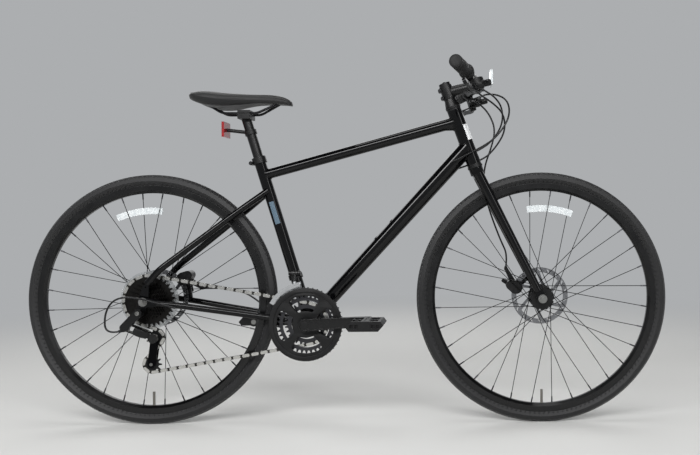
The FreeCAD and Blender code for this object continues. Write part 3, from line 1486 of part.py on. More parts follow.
port_high = on_down(down_span - 62, 4, down_radius(down_span - 62) + cable_radius * 0.2)
port_low = on_down(down_span - 84, -6, down_radius(down_span - 84) + cable_radius * 0.1)
rear_shift_route = [
    shift_exit,
    shift_lead,
    bar_centre + V(19, -64, -24),
    bar_centre + V(47, -22, -33),
    bar_centre + V(71, 14, -58),
    bar_centre + V(74, 36, -102),
    bar_centre + V(49, 42, -145),
    bar_centre + V(13, 38, -176),
    port_high + V(0, 2.0, 0),
]
rear_brake_route = [
    brake_exit,
    brake_lead,
    bar_centre + V(8, -76, -38),
    bar_centre + V(43, -38, -54),
    bar_centre + V(75, -4, -80),
    bar_centre + V(80, 16, -126),
    bar_centre + V(54, 30, -170),
    bar_centre + V(14, 34, -210),
    port_low + V(0, 2.0, 0),
]
front_shift_route = [
    other_side(shift_exit),
    other_side(shift_lead),
    bar_centre + V(21, 62, -16),
    bar_centre + V(54, 27, -20),
    bar_centre + V(86, -8, -42),
    bar_centre + V(91, -32, -88),
    bar_centre + V(64, -42, -136),
    bar_centre + V(22, -40, -173),
    other_side(port_high) + V(0, -2.0, 0),
]
front_brake_route = [
    other_side(brake_exit),
    other_side(brake_lead),
    bar_centre + V(9, 84, -39),
    bar_centre + V(36, 68, -70),
    bar_centre + V(54, 62, -116),
    bar_centre + V(42, 60, -168),
    bar_centre + V(22, 62, -220),
    bar_centre + V(18, 63, -276),
    bar_centre + V(30, 64, -332),
    bar_centre + V(48, 64, -386),
    bar_centre + V(68, 63, -438),
    front_stop_at + front_stop_dir * 40.0,
    front_stop_at + front_stop_dir * (stop_half + cable_fit),
]
derailleur_loop = [
    V(stay_seat.x + 50, -end_line - 9.5, stay_seat.z - 12),
    V(stay_seat.x - 2, -hanger_face - 19, stay_seat.z + 6),
    V(rear_axle.x - 30, -hanger_face - 21, rear_axle.z + 18),
    V(rear_axle.x - 74, barrel_end.y - 4, rear_axle.z + 8),
    V(rear_axle.x - 97, barrel_end.y, rear_axle.z - 32),
    barrel_end + V(-36, 0, -7),
    barrel_end + V(-cable_fit, 0, -cable_fit * 0.18),
]
rear_brake_end = [
    rear_stop_at + V(stop_half + cable_fit, 0, 0),
    rear_stop_at + V(58, 0, 1),
    rear_stop_at + V(112, -8, -9),
    rear_stop_at + V(160, -22, -34),
    rear_stop_at + V(196, -33, -62),
]
rear_cables = [
    make_cable("rear shift cable", rear_shift_route),
    make_cable("rear brake cable", rear_brake_route),
    make_cable("front shift cable", front_shift_route),
    make_cable("rear brake end", rear_brake_end),
]
export("control_cables", *rear_cables)
export("derailleur_cable", make_cable("derailleur loop", derailleur_loop))
export("front_brake_cable", make_cable("front brake cable", front_brake_route))
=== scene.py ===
import json
import math

import bmesh
import bpy
from mathutils import Matrix, Vector

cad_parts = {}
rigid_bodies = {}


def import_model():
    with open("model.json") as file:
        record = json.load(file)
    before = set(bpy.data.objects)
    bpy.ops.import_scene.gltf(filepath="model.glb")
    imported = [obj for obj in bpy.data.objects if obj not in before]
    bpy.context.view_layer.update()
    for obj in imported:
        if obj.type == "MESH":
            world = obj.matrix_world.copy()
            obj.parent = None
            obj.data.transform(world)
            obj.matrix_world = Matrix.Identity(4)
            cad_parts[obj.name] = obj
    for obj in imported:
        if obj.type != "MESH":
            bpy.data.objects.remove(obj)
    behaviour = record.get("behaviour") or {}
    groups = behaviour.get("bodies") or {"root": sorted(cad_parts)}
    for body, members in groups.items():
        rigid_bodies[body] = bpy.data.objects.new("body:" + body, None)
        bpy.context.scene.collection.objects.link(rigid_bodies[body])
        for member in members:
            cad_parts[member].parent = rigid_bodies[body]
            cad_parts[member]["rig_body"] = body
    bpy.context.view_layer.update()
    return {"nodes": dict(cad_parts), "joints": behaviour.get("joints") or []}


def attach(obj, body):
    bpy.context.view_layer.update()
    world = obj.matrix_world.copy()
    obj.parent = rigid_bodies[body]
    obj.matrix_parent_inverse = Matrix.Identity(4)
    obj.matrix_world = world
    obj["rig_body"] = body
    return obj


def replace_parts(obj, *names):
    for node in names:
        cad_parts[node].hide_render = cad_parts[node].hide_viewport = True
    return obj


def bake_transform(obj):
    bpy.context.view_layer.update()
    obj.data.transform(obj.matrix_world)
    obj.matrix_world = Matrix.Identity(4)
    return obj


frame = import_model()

nodes = frame["nodes"]
joints = {joint["name"]: joint for joint in frame["joints"]}


# Frame tubes and fork: butted aluminium tubes, welded and sprayed gloss black under clear lacquer.
# The lacquer gives tight highlights over a faint orange peel, and holds a little dust.
def linear(hex_colour):
    """Linear colour of an sRGB hex value."""
    parts = [int(hex_colour[k : k + 2], 16) / 255 for k in (1, 3, 5)]
    return [c / 12.92 if c <= 0.04045 else ((c + 0.055) / 1.055) ** 2.4 for c in parts] + [1.0]


def add(tree, kind, settings=(), links=()):
    """One shader node with its settings, and the sockets that feed it."""
    made = tree.nodes.new(kind)
    for key, value in dict(settings).items():
        if isinstance(key, int) or key in made.inputs:
            made.inputs[key].default_value = value
        else:
            setattr(made, key, value)
    for key, source in dict(links).items():
        tree.links.new(made.inputs[key], source)
    return made


def new_material(name):
    """An empty node material and its tree."""
    made = bpy.data.materials.new(name)
    made.use_nodes = True
    made.node_tree.nodes.clear()
    return made, made.node_tree


def per_metre(millimetres):
    """Pattern scale that repeats at that real size."""
    return 1000 / millimetres


def mixed(tree, low, high, factor):
    """A colour between two, by a socket that runs from 0 to 1."""
    colours = {"data_type": "RGBA", "A": low, "B": high}
    return add(tree, "ShaderNodeMix", colours, {"Factor": factor}).outputs["Result"]


def surfaced(tree, settings, links):
    """The surface of a material, with its settings and the sockets that feed it."""
    surface = add(tree, "ShaderNodeBsdfPrincipled", settings, links)
    add(tree, "ShaderNodeOutputMaterial", links={"Surface": surface.outputs["BSDF"]})


def coated(name, colour, roughness, grain, depth, edge, **shader):
    """A coated or moulded surface: even colour, soft edges, fine grain, and dust that varies its gloss.
    The grain's size and depth and the edge's radius are in millimetres."""
    made, tree = new_material(name)
    place = add(tree, "ShaderNodeTexCoord").outputs["Object"]
    fine = add(tree, "ShaderNodeTexNoise", {"Scale": per_metre(grain), "Detail": 2.0}, {"Vector": place})
    dust = add(tree, "ShaderNodeTexNoise", {"Scale": per_metre(45), "Detail": 4.0}, {"Vector": place})
    rough = add(
        tree,
        "ShaderNodeMapRange",
        {"From Min": 0.3, "From Max": 0.7, "To Min": roughness * 0.8, "To Max": roughness * 1.25},
        {"Value": dust.outputs["Fac"]},
    )
    dusty = [c * 1.35 + 0.002 for c in linear(colour)[:3]] + [1]
    tone = mixed(tree, linear(colour), dusty, dust.outputs["Fac"])
    soft = add(tree, "ShaderNodeBevel", {"Radius": edge / 1000, "samples": 4})
    bump = add(
        tree,
        "ShaderNodeBump",
        {"Strength": 0.25, "Distance": depth / 1000},
        {"Height": fine.outputs["Fac"], "Normal": soft.outputs["Normal"]},
    )
    links = {"Base Color": tone, "Roughness": rough.outputs["Result"], "Normal": bump.outputs["Normal"]}
    surfaced(tree, shader, links)
    return made


def dress(material, *names):
    """Gives CAD nodes a finished material."""
    for name in names:
        nodes[name].material_slots[0].material = material


gloss = {"Coat Weight": 0.5, "Coat Roughness": 0.03, "Specular IOR Level": 0.02}
lacquer = coated("gloss black lacquer", "#020203", 0.22, 2.0, 0.02, 0.8, **gloss)
dress(lacquer, "top_tube", "down_tube", "seat_tube", "bottom_bracket", "chainstays", "seatstays", "fork")


# Head tube with its headset: the painted tube carries two pressed-in cups of satin black aluminium.
# The cups hold the bearings on which the steerer turns, one at each end of the tube.
def loose(node, joined=True):
    """A node's mesh, and its faces gathered solid by solid, or surface by surface where it isn't joined."""
    whole = bmesh.new()
    whole.from_mesh(nodes[node].data)
    if joined:
        bmesh.ops.remove_doubles(whole, verts=whole.verts, dist=1e-6)
    waiting = dict.fromkeys(whole.faces)
    solids = []
    while waiting:
        reached = [next(iter(waiting))]
        del waiting[reached[0]]
        for face in reached:
            for edge in face.edges:
                for other in edge.link_faces:
                    if other in waiting and len(edge.link_faces) == 2:
                        del waiting[other]
                        reached.append(other)
        solids.append(reached)
    return whole, solids


def split(node, bodies=(), joined=True, **tests):
    """Pieces made of a node's solids, each test being given a solid's centre and size in metres.
    A piece rides on the node's body, unless bodies gives it another one, or none."""
    whole, solids = loose(node, joined)
    pieces = []
    for name, test in tests.items():
        chosen = []
        for solid in solids:
            corners = [v.co for face in solid for v in face.verts]
            low = Vector([min(c[k] for c in corners) for k in range(3)])
            high = Vector([max(c[k] for c in corners) for k in range(3)])
            if test((low + high) / 2, high - low):
                chosen += solid
        part = bmesh.new()
        copies = {}
        for face in chosen:
            for vert in face.verts:
                if vert not in copies:
                    copies[vert] = part.verts.new(vert.co)
            part.faces.new([copies[vert] for vert in face.verts])
        bmesh.ops.remove_doubles(part, verts=part.verts, dist=1e-6)
        pieces.append(piece(name, part, dict(bodies).get(name, nodes[node]["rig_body"])))
        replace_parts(pieces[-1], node)
    whole.free()
    return pieces


def piece(name, shape, body, sharp=32):
    """A shown piece from a finished bmesh, smooth except at its sharp edges, riding on a body."""
    shape.normal_update()
    for face in shape.faces:
        face.smooth = True
    for edge in shape.edges:
        edge.smooth = len(edge.link_faces) == 2 and edge.calc_face_angle(0) < math.radians(sharp)
    mesh = bpy.data.meshes.new(name)
    shape.to_mesh(mesh)
    shape.free()
    made = bpy.data.objects.new(name, mesh)
    bpy.context.scene.collection.objects.link(made)
    if body:
        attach(made, body)
    return made


def paint(made, material):
    """Gives a piece its material."""
    made.data.materials.clear()
    made.data.materials.append(material)


anodised = coated("satin black anodised aluminium", "#09090a", 0.36, 0.6, 0.01, 0.6, **{"Metallic": 0.35})
tube_least = 0.1
tube_piece, cup_piece = split(
    "head_tube",
    head_tube_sleeve=lambda centre, size: size.z > tube_least,
    headset_cups=lambda centre, size: size.z <= tube_least,
)
paint(tube_piece, lacquer)
paint(cup_piece, anodised)


# Weld beads: the rippled aluminium fillets round the tubes' mitred ends, painted with the frame.
# Each follows the line where its tube meets the next one.
bead_radius = 0.0022
bead_pitch = 0.0035
bead_valley = 0.78


def skinned(name, line):
    """The skin of a thick curve as a mesh piece."""
    guide = bpy.data.objects.new(name + "_line", line)
    bpy.context.scene.collection.objects.link(guide)
    skin = bpy.data.meshes.new_from_object(guide)
    bpy.data.objects.remove(guide)
    for face in skin.polygons:
        face.use_smooth = True
    made = bpy.data.objects.new(name, skin)
    bpy.context.scene.collection.objects.link(made)
    return made


def weld(name, far, near, radius, other, direction, other_radius):
    """Rippled bead where a round tube, running from far to near, meets another tube's surface."""
    run = (near - far).normalized()
    side = Vector((0, 1, 0))
    up = side.cross(run)
    steps = int(2 * math.pi * radius / bead_pitch) * 2
    points = []
    for k in range(steps):
        turn = 2 * math.pi * k / steps
        start = far + (side * math.cos(turn) + up * math.sin(turn)) * radius
        offset = start - other
        across = run - direction * run.dot(direction)
        lean = offset - direction * offset.dot(direction)
        square = lean.dot(across) ** 2 - across.length_squared * (lean.length_squared - other_radius**2)
        if square > 0:
            reach = (-lean.dot(across) - math.sqrt(square)) / across.length_squared
            points.append(start + run * reach)
    line = bpy.data.curves.new(name, "CURVE")
    line.dimensions = "3D"
    line.bevel_depth = bead_radius
    line.bevel_resolution = 3
    spline = line.splines.new("POLY")
    spline.points.add(len(points) - 1)
    for k, point in enumerate(points):
        spline.points[k].co = (*point, 1)
        spline.points[k].radius = 1.0 if k % 2 else bead_valley
    spline.use_cyclic_u = len(points) == steps
    made = skinned(name, line)
    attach(made, "frame")
    paint(made, lacquer)


bracket = Vector(joints["crank_spin"]["pos_m"])
seat_axis = Vector(joints["seat_height"]["axis"])
head_axis = Vector(joints["steering_turn"]["axis"])
head_place = Vector(joints["steering_turn"]["pos_m"])
seat_joint = Vector((-0.2300, 0, 0.6913))
head_joint = Vector((0.3134, 0, 0.8378))
down_joint = Vector((0.3394, 0, 0.7663))
head_radius = 0.0200
seat_radius = 0.0159
shell_radius = 0.0200
shell_axis = Vector((0, 1, 0))
top_front_radius, top_rear_radius, flare_radius = 0.0155, 0.0142, 0.0127
down_front_radius, down_rear_radius = 0.0223, 0.0191
flare_rear = Vector((0.2536, 0, 0.8216))
flare_front = Vector((0.3164, 0, 0.8267))
weld("weld_top_front", seat_joint, head_joint, top_front_radius, head_place, head_axis, head_radius)
weld("weld_top_flare", flare_rear, flare_front, flare_radius, head_place, head_axis, head_radius)
weld("weld_top_rear", head_joint, seat_joint, top_rear_radius, bracket, seat_axis, seat_radius)
weld("weld_down_front", bracket, down_joint, down_front_radius, head_place, head_axis, head_radius)
weld("weld_down_rear", down_joint, bracket, down_rear_radius, bracket, shell_axis, shell_radius)
weld("weld_seat_foot", seat_joint, bracket, seat_radius, bracket, shell_axis, shell_radius)


# Blank stickers: a pale one on the head tube's front and a grey-blue one on the seat tube's right side.
# Thin vinyl film, cut to a plain band and pressed on over the paint.
film_rise = 0.0004
film_steps = 16


def sticker(name, low, high, radius, facing, half_turn, material):
    """Thin film wrapped on a round tube between two places on its axis."""
    axis = (high - low).normalized()
    out = (facing - axis * facing.dot(axis)).normalized()
    across = axis.cross(out)
    film = bmesh.new()
    rows = []
    for k in range(film_steps + 1):
        turn = math.radians(half_turn) * (2 * k / film_steps - 1)
        reach = (out * math.cos(turn) + across * math.sin(turn)) * (radius + film_rise)
        rows.append((film.verts.new(low + reach), film.verts.new(high + reach)))
    for near, far in zip(rows, rows[1:]):
        film.faces.new((near[0], far[0], far[1], near[1]))
    paint(piece(name, film, "frame"), material)


pale_film = coated("pale vinyl film", "#e4e5e6", 0.25, 1.0, 0.01, 0.1, **{"Coat Weight": 0.6})
blue_film = coated("grey-blue vinyl film", "#4d606e", 0.25, 1.0, 0.01, 0.1, **{"Coat Weight": 0.6})
head_film = (0.068, 0.113)
seat_film = (0.286, 0.350)
head_wrap, seat_wrap = 66, 24
head_low, head_high = (head_place + head_axis * along for along in head_film)
sticker("head_sticker", head_low, head_high, head_radius, Vector((1, 0, 0)), head_wrap, pale_film)
seat_low, seat_high = (bracket + seat_axis * along for along in seat_film)
sticker("seat_sticker", seat_low, seat_high, seat_radius, Vector((0, -1, 0)), seat_wrap, blue_film)


# Stem, faceplate, headset cover and top cap: forged aluminium, bead blasted and black anodised.
# The faceplate and the steerer clamp are drawn up by steel socket-head screws.
dress(anodised, "stem", "handlebar", "seatpost", "front_hub", "front_caliper", "rear_caliper")


def rings_mesh(rings, shape=None):
    """Closed skin over rings of points, each ring with the same count and the ends filled."""
    shape = shape or bmesh.new()
    rows = [[shape.verts.new(point) for point in ring] for ring in rings]
    count = len(rows[0])
    for low, high in zip(rows, rows[1:]):
        for k in range(count):
            shape.faces.new((low[k], low[(k + 1) % count], high[(k + 1) % count], high[k]))
    shape.faces.new(list(reversed(rows[0])))
    shape.faces.new(rows[-1])
    return shape


def turned(start, axis, profile, count=32):
    """Rings of a turned form: profile gives (distance along the axis, radius) in metres."""
    axis = Vector(axis).normalized()
    side = axis.orthogonal().normalized()
    other = axis.cross(side)
    rings = []
    for along, radius in profile:
        ring = []
        for k in range(count):
            turn = 2 * math.pi * k / count
            ring.append(Vector(start) + axis * along + (side * math.cos(turn) + other * math.sin(turn)) * radius)
        rings.append(ring)
    return rings


def screw_rings(at, axis, head):
    """Socket-head screw: a chamfered round head with a hexagon recess."""
    height, chamfer, flat = head * 0.8, head * 0.16, head * 0.52
    rings = turned(at, axis, [(-0.0005, head), (height - chamfer, head), (height, head - chamfer)], 24)
    for depth in (height, height * 0.35):
        ring = turned(at, axis, [(depth, 1.0)], 24)[0]
        centre = Vector(at) + Vector(axis).normalized() * depth
        for k in range(24):
            lean = math.radians((k * 15) % 60 - 30)
            ring[k] = centre + (ring[k] - centre) * flat / math.cos(lean)
        rings.append(ring)
    return rings


def screws(name, body, material, places):
    """Like screws on one body as a single piece."""
    whole = bmesh.new()
    for at, axis, head in places:
        rings_mesh(screw_rings(at, axis, head), whole)
    paint(piece(name, whole, body), material)


def bare_metal(name, colour, roughness, streak, ratio, **shader):
    """Bare metal with fine streaks of polish, spaced in millimetres, and darker grime in patches."""
    made, tree = new_material(name)
    place = add(tree, "ShaderNodeTexCoord").outputs["Object"]
    stretch = add(tree, "ShaderNodeMapping", {"Scale": ratio}, {"Vector": place})
    grain = add(
        tree, "ShaderNodeTexNoise", {"Scale": per_metre(streak), "Detail": 3.0}, {"Vector": stretch.outputs["Vector"]}
    )
    grime = add(tree, "ShaderNodeTexNoise", {"Scale": per_metre(14), "Detail": 3.0}, {"Vector": place})
    grimy = [c * 0.72 for c in linear(colour)[:3]] + [1]
    tone = mixed(tree, linear(colour), grimy, grime.outputs["Fac"])
    rough = add(
        tree,
        "ShaderNodeMapRange",
        {"To Min": roughness * 0.7, "To Max": roughness * 1.4},
        {"Value": grain.outputs["Fac"]},
    )
    soft = add(tree, "ShaderNodeBevel", {"Radius": 0.0003, "samples": 4})
    bump = add(
        tree,
        "ShaderNodeBump",
        {"Strength": 0.2, "Distance": 0.00002},
        {"Height": grain.outputs["Fac"], "Normal": soft.outputs["Normal"]},
    )
    links = {"Base Color": tone, "Roughness": rough.outputs["Result"], "Normal": bump.outputs["Normal"]}
    surfaced(tree, {"Metallic": 1.0, **shader}, links)
    return made


screw_steel = bare_metal("black oxide screw steel", "#3a3a3c", 0.35, 0.4, (1, 1, 1))
stem_dir = Vector((0.97237, 0, 0.23345))
stem_up = Vector((-0.23345, 0, 0.97237))
bar_centre = Vector((0.36569, 0, 0.93818))
clamp_low, clamp_high = (0.2699, -0.0110, 0.9017), (0.2624, -0.0110, 0.9224)
cap_middle = (0.2748, 0, 0.9439)
clamp_head, cap_head, face_head = 0.0040, 0.0045, 0.0036
face_forward, face_half = 0.0135, 0.0150
stem_screws = [(clamp_low, (0, -1, 0), clamp_head), (clamp_high, (0, -1, 0), clamp_head)]
stem_screws.append((cap_middle, head_axis, cap_head))
for y in (-face_half, face_half):
    for up in (-face_half, face_half):
        at = bar_centre + stem_dir * face_forward + stem_up * up + Vector((0, y, 0))
        stem_screws.append((at, stem_dir, face_head))
screws("stem_screws", "steering", screw_steel, stem_screws)


# Grips: moulded rubber sleeves pushed on the bar, with fine ribs between an inner flange and an end plug.
# They swell a little under the palm and hold on the bar by friction.
grip_inner = Vector((0.33738, -0.19289, 0.94193))
grip_axis = Vector((-0.21132, -0.97703, 0.02792))
grip_reach = 0.1290
rib_start, rib_pitch = 0.0125, 0.0042
rib_root, rib_crest = 0.0152, 0.0162
palm_swell = 0.0006
plug_reach = 0.0150
rubber = coated("moulded grip rubber", "#0d0d0e", 0.62, 0.8, 0.06, 0.4, **{"Specular IOR Level": 0.35})
for side, word in ((1, "right"), (-1, "left")):
    profile = [(0.0, 0.0125), (0.0004, 0.0196), (0.0045, 0.0200), (0.0055, 0.0165), (0.0110, 0.0160)]
    along = rib_start
    while along < grip_reach - plug_reach:
        swell = palm_swell * math.sin(math.pi * along / grip_reach)
        profile += [(along, rib_root + swell), (along + 0.0006, rib_crest + swell)]
        profile += [(along + 0.0030, rib_crest + swell), (along + 0.0036, rib_root + swell)]
        along += rib_pitch
    profile += [(grip_reach - 0.0110, 0.0158), (grip_reach - 0.0100, 0.0166), (grip_reach - 0.0020, 0.0166)]
    profile += [(grip_reach - 0.0004, 0.0150), (grip_reach, 0.0100)]
    mirror = Matrix.Diagonal((1, side, 1))
    rings = turned(mirror @ grip_inner, mirror @ grip_axis, profile, count=40)
    grip = piece("grip_" + word, rings_mesh(rings), "steering", sharp=50)
    paint(grip, rubber)
    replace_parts(grip, "grips")


# Control pods, perches and levers: glass-filled nylon housings with cast aluminium brake blades.
# The blades are painted satin black; the shift levers are moulded with a fine grain.
# Each perch ends in a ribbed barrel that takes up slack in the brake cable.
nylon = coated("black moulded nylon", "#0a0a0b", 0.45, 0.5, 0.05, 0.8, **{"Specular IOR Level": 0.3})
blade_gloss = {"Coat Weight": 0.1, "Specular IOR Level": 0.2}
blade_paint = coated("satin black blade paint", "#08080a", 0.42, 1.5, 0.02, 1.2, **blade_gloss)
dress(nylon, "control_pod_right", "control_pod_left", "thumb_lever_right", "thumb_lever_left")
dress(nylon, "release_lever_right", "release_lever_left", "guide_pulley", "tension_pulley")
dress(blade_paint, "brake_lever_right", "brake_lever_left", "front_caliper_arm", "rear_caliper_arm")
perch_profile = [
    (0.000, 0.0060), (0.002, 0.0110), (0.020, 0.0125), (0.029, 0.0110), (0.031, 0.0085), (0.034, 0.0092),
    (0.037, 0.0085), (0.040, 0.0092), (0.043, 0.0085), (0.046, 0.0090), (0.049, 0.0072), (0.050, 0.0035),
]
perch_foot = (0.352, 0.172, 0.909)
perch_axis = (0.95, -0.12, 0.22)
for side, word in ((-1, "right"), (1, "left")):
    foot, axis = ((x, side * y, z) for x, y, z in (perch_foot, perch_axis))
    perch = rings_mesh(turned(foot, axis, perch_profile, count=24))
    paint(piece("lever_perch_" + word, perch, "steering"), nylon)


# Seat clamp and rails: an aluminium collar pinched by one screw; the saddle's rails are black steel wire.
# The collar sits on the seat tube's slotted top.
collar_least = 0.045
collar, pinch = split(
    "seat_clamp",
    seat_collar=lambda centre, size: size.length > collar_least,
    seat_screw=lambda centre, size: size.length <= collar_least,
)
paint(collar, anodised)
rail_steel = bare_metal("black coated rail steel", "#2a2a2c", 0.3, 0.5, (0.1, 1, 1))
paint(pinch, screw_steel)
dress(rail_steel, "saddle_rails")


# Saddle: foam on a nylon shell, covered with synthetic leather that is sewn along both flanks.
# Broad at the back, with a crowned nose and a shallow relief channel down the middle.
saddle_tail = -0.4240
saddle_length = 0.2770
saddle_width = 0.1560
saddle_top = 0.9240
channel_depth, channel_half = 0.0035, 0.011
channel_middle, channel_spread = 0.42, 0.3
crown_power = 2.3
ring_half = 12
seam_step, seam_radius = 10, 0.0008
sections = [
    (0.000, 0.60, -10, -16, -23),
    (0.030, 0.82, -3, -14, -29),
    (0.080, 0.93, 1, -15, -36),
    (0.150, 0.99, 2, -19, -43),
    (0.220, 1.00, 0, -22, -46),
    (0.310, 0.94, -3, -25, -47),
    (0.400, 0.81, -5, -26, -46),
    (0.490, 0.64, -6, -26, -42),
    (0.580, 0.50, -7, -25, -38),
    (0.680, 0.40, -7, -25, -36),
    (0.780, 0.33, -8, -25, -36),
    (0.870, 0.28, -12, -26, -37),
    (0.930, 0.24, -17, -29, -38),
    (0.975, 0.18, -25, -33, -40),
    (0.995, 0.10, -32, -36, -41),
]


def saddle_ring(place, width, crown, edge, base):
    """One cross-section of the cover, from the right base edge over the top to the left base edge."""
    x = saddle_tail + place * saddle_length
    half = width * saddle_width / 2
    top, brim, low = (saddle_top + level / 1000 for level in (crown, edge, base))
    channel = channel_depth * math.exp(-(((place - channel_middle) / channel_spread) ** 2))
    ring = []
    for k in range(-ring_half, ring_half + 1):
        share = k / ring_half
        lift = 1 - abs(share) ** crown_power
        groove = channel * math.exp(-((share * half / channel_half) ** 2))
        ring.append(Vector((x, share * half, brim + (top - brim) * lift - groove)))
    flank = [(0.99, 0.25), (0.95, 0.6), (0.84, 1.0), (0.5, 0.86)]
    for share, level in flank + [(0, 0.8)] + [(-share, level) for share, level in reversed(flank)]:
        ring.append(Vector((x, share * half, brim + (low - brim) * level)))
    return ring


cover, tree = new_material("synthetic saddle leather")
place = add(tree, "ShaderNodeTexCoord").outputs["Object"]
pores = add(tree, "ShaderNodeTexVoronoi", {"Scale": per_metre(1.6), "feature": "DISTANCE_TO_EDGE"}, {"Vector": place})
creases = add(tree, "ShaderNodeTexNoise", {"Scale": per_metre(30), "Detail": 5.0}, {"Vector": place})
tone = mixed(tree, linear("#0d0d0e"), linear("#151516"), creases.outputs["Fac"])
relief = add(tree, "ShaderNodeBump", {"Strength": 0.35, "Distance": 0.0002}, {"Height": pores.outputs["Distance"]})
leather = {"Roughness": 0.5, "Specular IOR Level": 0.35, "Sheen Weight": 0.12, "Sheen Roughness": 0.5}
surfaced(tree, leather, {"Base Color": tone, "Normal": relief.outputs["Normal"]})
saddle = piece("saddle_cover", rings_mesh([saddle_ring(*row) for row in sections]), "seat", sharp=60)
smoother = saddle.modifiers.new("smooth", "SUBSURF")
smoother.levels = smoother.render_levels = 2
paint(saddle, cover)
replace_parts(saddle, "saddle")
for side, word in ((-1, "right"), (1, "left")):
    seam = bpy.data.curves.new("saddle_seam_" + word, "CURVE")
    seam.dimensions = "3D"
    seam.bevel_depth = seam_radius
    spline = seam.splines.new("NURBS")
    rows = [saddle_ring(*row) for row in sections[1:-1]]
    spline.points.add(len(rows) - 1)
    for point, row in zip(spline.points, rows):
        point.co = (*row[ring_half + side * seam_step], 1)
    spline.order_u = 3
    spline.use_endpoint_u = True
    line = skinned("saddle_seam_" + word, seam)
    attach(line, "seat")
    paint(line, cover)


# Tyres and valves: black rubber with a shallow block tread and a smooth sidewall; brass valves in black rubber.
# The slanted blocks follow each other every 14 mm and stop before the shoulders; fine lines circle the sidewalls.
block_pitch, block_skew = 14, 420.0
wheel_radius = 347
tyre_half_tread = 0.0125


def tyre_rubber(name, axle):
    """Tread blocks on the crown that fade to fine circling lines on the sidewalls."""
    made, tree = new_material(name)
    place = add(tree, "ShaderNodeTexCoord").outputs["Object"]
    local = add(tree, "ShaderNodeVectorMath", {"operation": "SUBTRACT", 1: axle}, {0: place})
    parts = add(tree, "ShaderNodeSeparateXYZ", links={"Vector": local.outputs["Vector"]})
    turn = add(tree, "ShaderNodeMath", {"operation": "ARCTAN2"}, {0: parts.outputs["Z"], 1: parts.outputs["X"]})
    out = add(tree, "ShaderNodeMath", {"operation": "ABSOLUTE"}, {0: parts.outputs["Y"]})
    blocks = round(2 * math.pi * wheel_radius / block_pitch)
    skew = add(tree, "ShaderNodeMath", {"operation": "MULTIPLY", 1: block_skew}, {0: out.outputs["Value"]})
    wave = add(
        tree,
        "ShaderNodeMath",
        {"operation": "MULTIPLY_ADD", 1: float(blocks)},
        {0: turn.outputs["Value"], 2: skew.outputs["Value"]},
    )
    groove = add(tree, "ShaderNodeMath", {"operation": "SINE"}, {0: wave.outputs["Value"]})
    cut = add(
        tree,
        "ShaderNodeMapRange",
        {"From Min": 0.55, "From Max": 0.8, "To Min": 1.0, "To Max": 0.0},
        {"Value": groove.outputs["Value"]},
    )
    middle = add(tree, "ShaderNodeMapRange", {"From Min": 0.0015, "From Max": 0.0030}, {"Value": out.outputs["Value"]})
    edge = add(
        tree,
        "ShaderNodeMapRange",
        {"From Min": tyre_half_tread - 0.001, "From Max": tyre_half_tread + 0.001, "To Min": 1.0, "To Max": 0.0},
        {"Value": out.outputs["Value"]},
    )
    depth = add(
        tree, "ShaderNodeMath", {"operation": "MULTIPLY"}, {0: middle.outputs["Result"], 1: edge.outputs["Result"]}
    )
    plain = add(tree, "ShaderNodeMath", {"operation": "SUBTRACT", 0: 1.0}, {1: depth.outputs["Value"]})
    tread = add(
        tree,
        "ShaderNodeMath",
        {"operation": "MULTIPLY_ADD"},
        {0: cut.outputs["Result"], 1: depth.outputs["Value"], 2: plain.outputs["Value"]},
    )
    radius = add(tree, "ShaderNodeVectorMath", {"operation": "LENGTH"}, {0: local.outputs["Vector"]})
    thread = add(tree, "ShaderNodeMath", {"operation": "MULTIPLY", 1: per_metre(0.45)}, {0: radius.outputs["Value"]})
    lines = add(tree, "ShaderNodeMath", {"operation": "SINE"}, {0: thread.outputs["Value"]})
    grey = add(tree, "ShaderNodeTexNoise", {"Scale": per_metre(25), "Detail": 5.0}, {"Vector": place})
    tone = mixed(tree, linear("#0d0d0e"), linear("#18181a"), grey.outputs["Fac"])
    fine = add(tree, "ShaderNodeBump", {"Strength": 0.12, "Distance": 0.0002}, {"Height": lines.outputs["Value"]})
    bump = add(
        tree,
        "ShaderNodeBump",
        {"Strength": 0.9, "Distance": 0.0016},
        {"Height": tread.outputs["Value"], "Normal": fine.outputs["Normal"]},
    )
    settings = {"Roughness": 0.58, "Sheen Weight": 0.12, "Sheen Roughness": 0.4}
    surfaced(tree, settings, {"Base Color": tone, "Normal": bump.outputs["Normal"]})
    return made


valve_brass = bare_metal("nickelled valve brass", "#8d8a84", 0.3, 0.3, (1, 1, 1))
front_axle = Vector(joints["front_wheel_spin"]["pos_m"])
rear_axle = Vector(joints["rear_wheel_spin"]["pos_m"])
casing_least = 0.3
for end, axle in (("front", front_axle), ("rear", rear_axle)):
    tyre, valve = split(
        end + "_tyre",
        joined=False,
        **{
            end + "_tyre_casing": lambda centre, size: size.x > casing_least,
            end + "_valve": lambda centre, size: size.x <= casing_least,
        },
    )
    paint(tyre, tyre_rubber(end + " tyre rubber", axle))
    paint(valve, valve_brass)


# Rims, spokes and nipples: extruded aluminium hoops, black anodised, laced with black stainless spokes.
# Nickelled brass nipples sit in the rim at the spokes' outer ends, and a white reflector is clipped across the spokes.
rim_finish = coated("black anodised rim", "#060607", 0.3, 0.5, 0.01, 0.4, **{"Metallic": 0.4, "Coat Weight": 0.2})
spoke_steel = bare_metal("black stainless spoke", "#101011", 0.32, 0.4, (1, 1, 1))
nipple_brass = bare_metal("black nickelled nipple brass", "#3c3c3f", 0.28, 0.3, (1, 1, 1))
dress(rim_finish, "front_rim", "rear_rim")


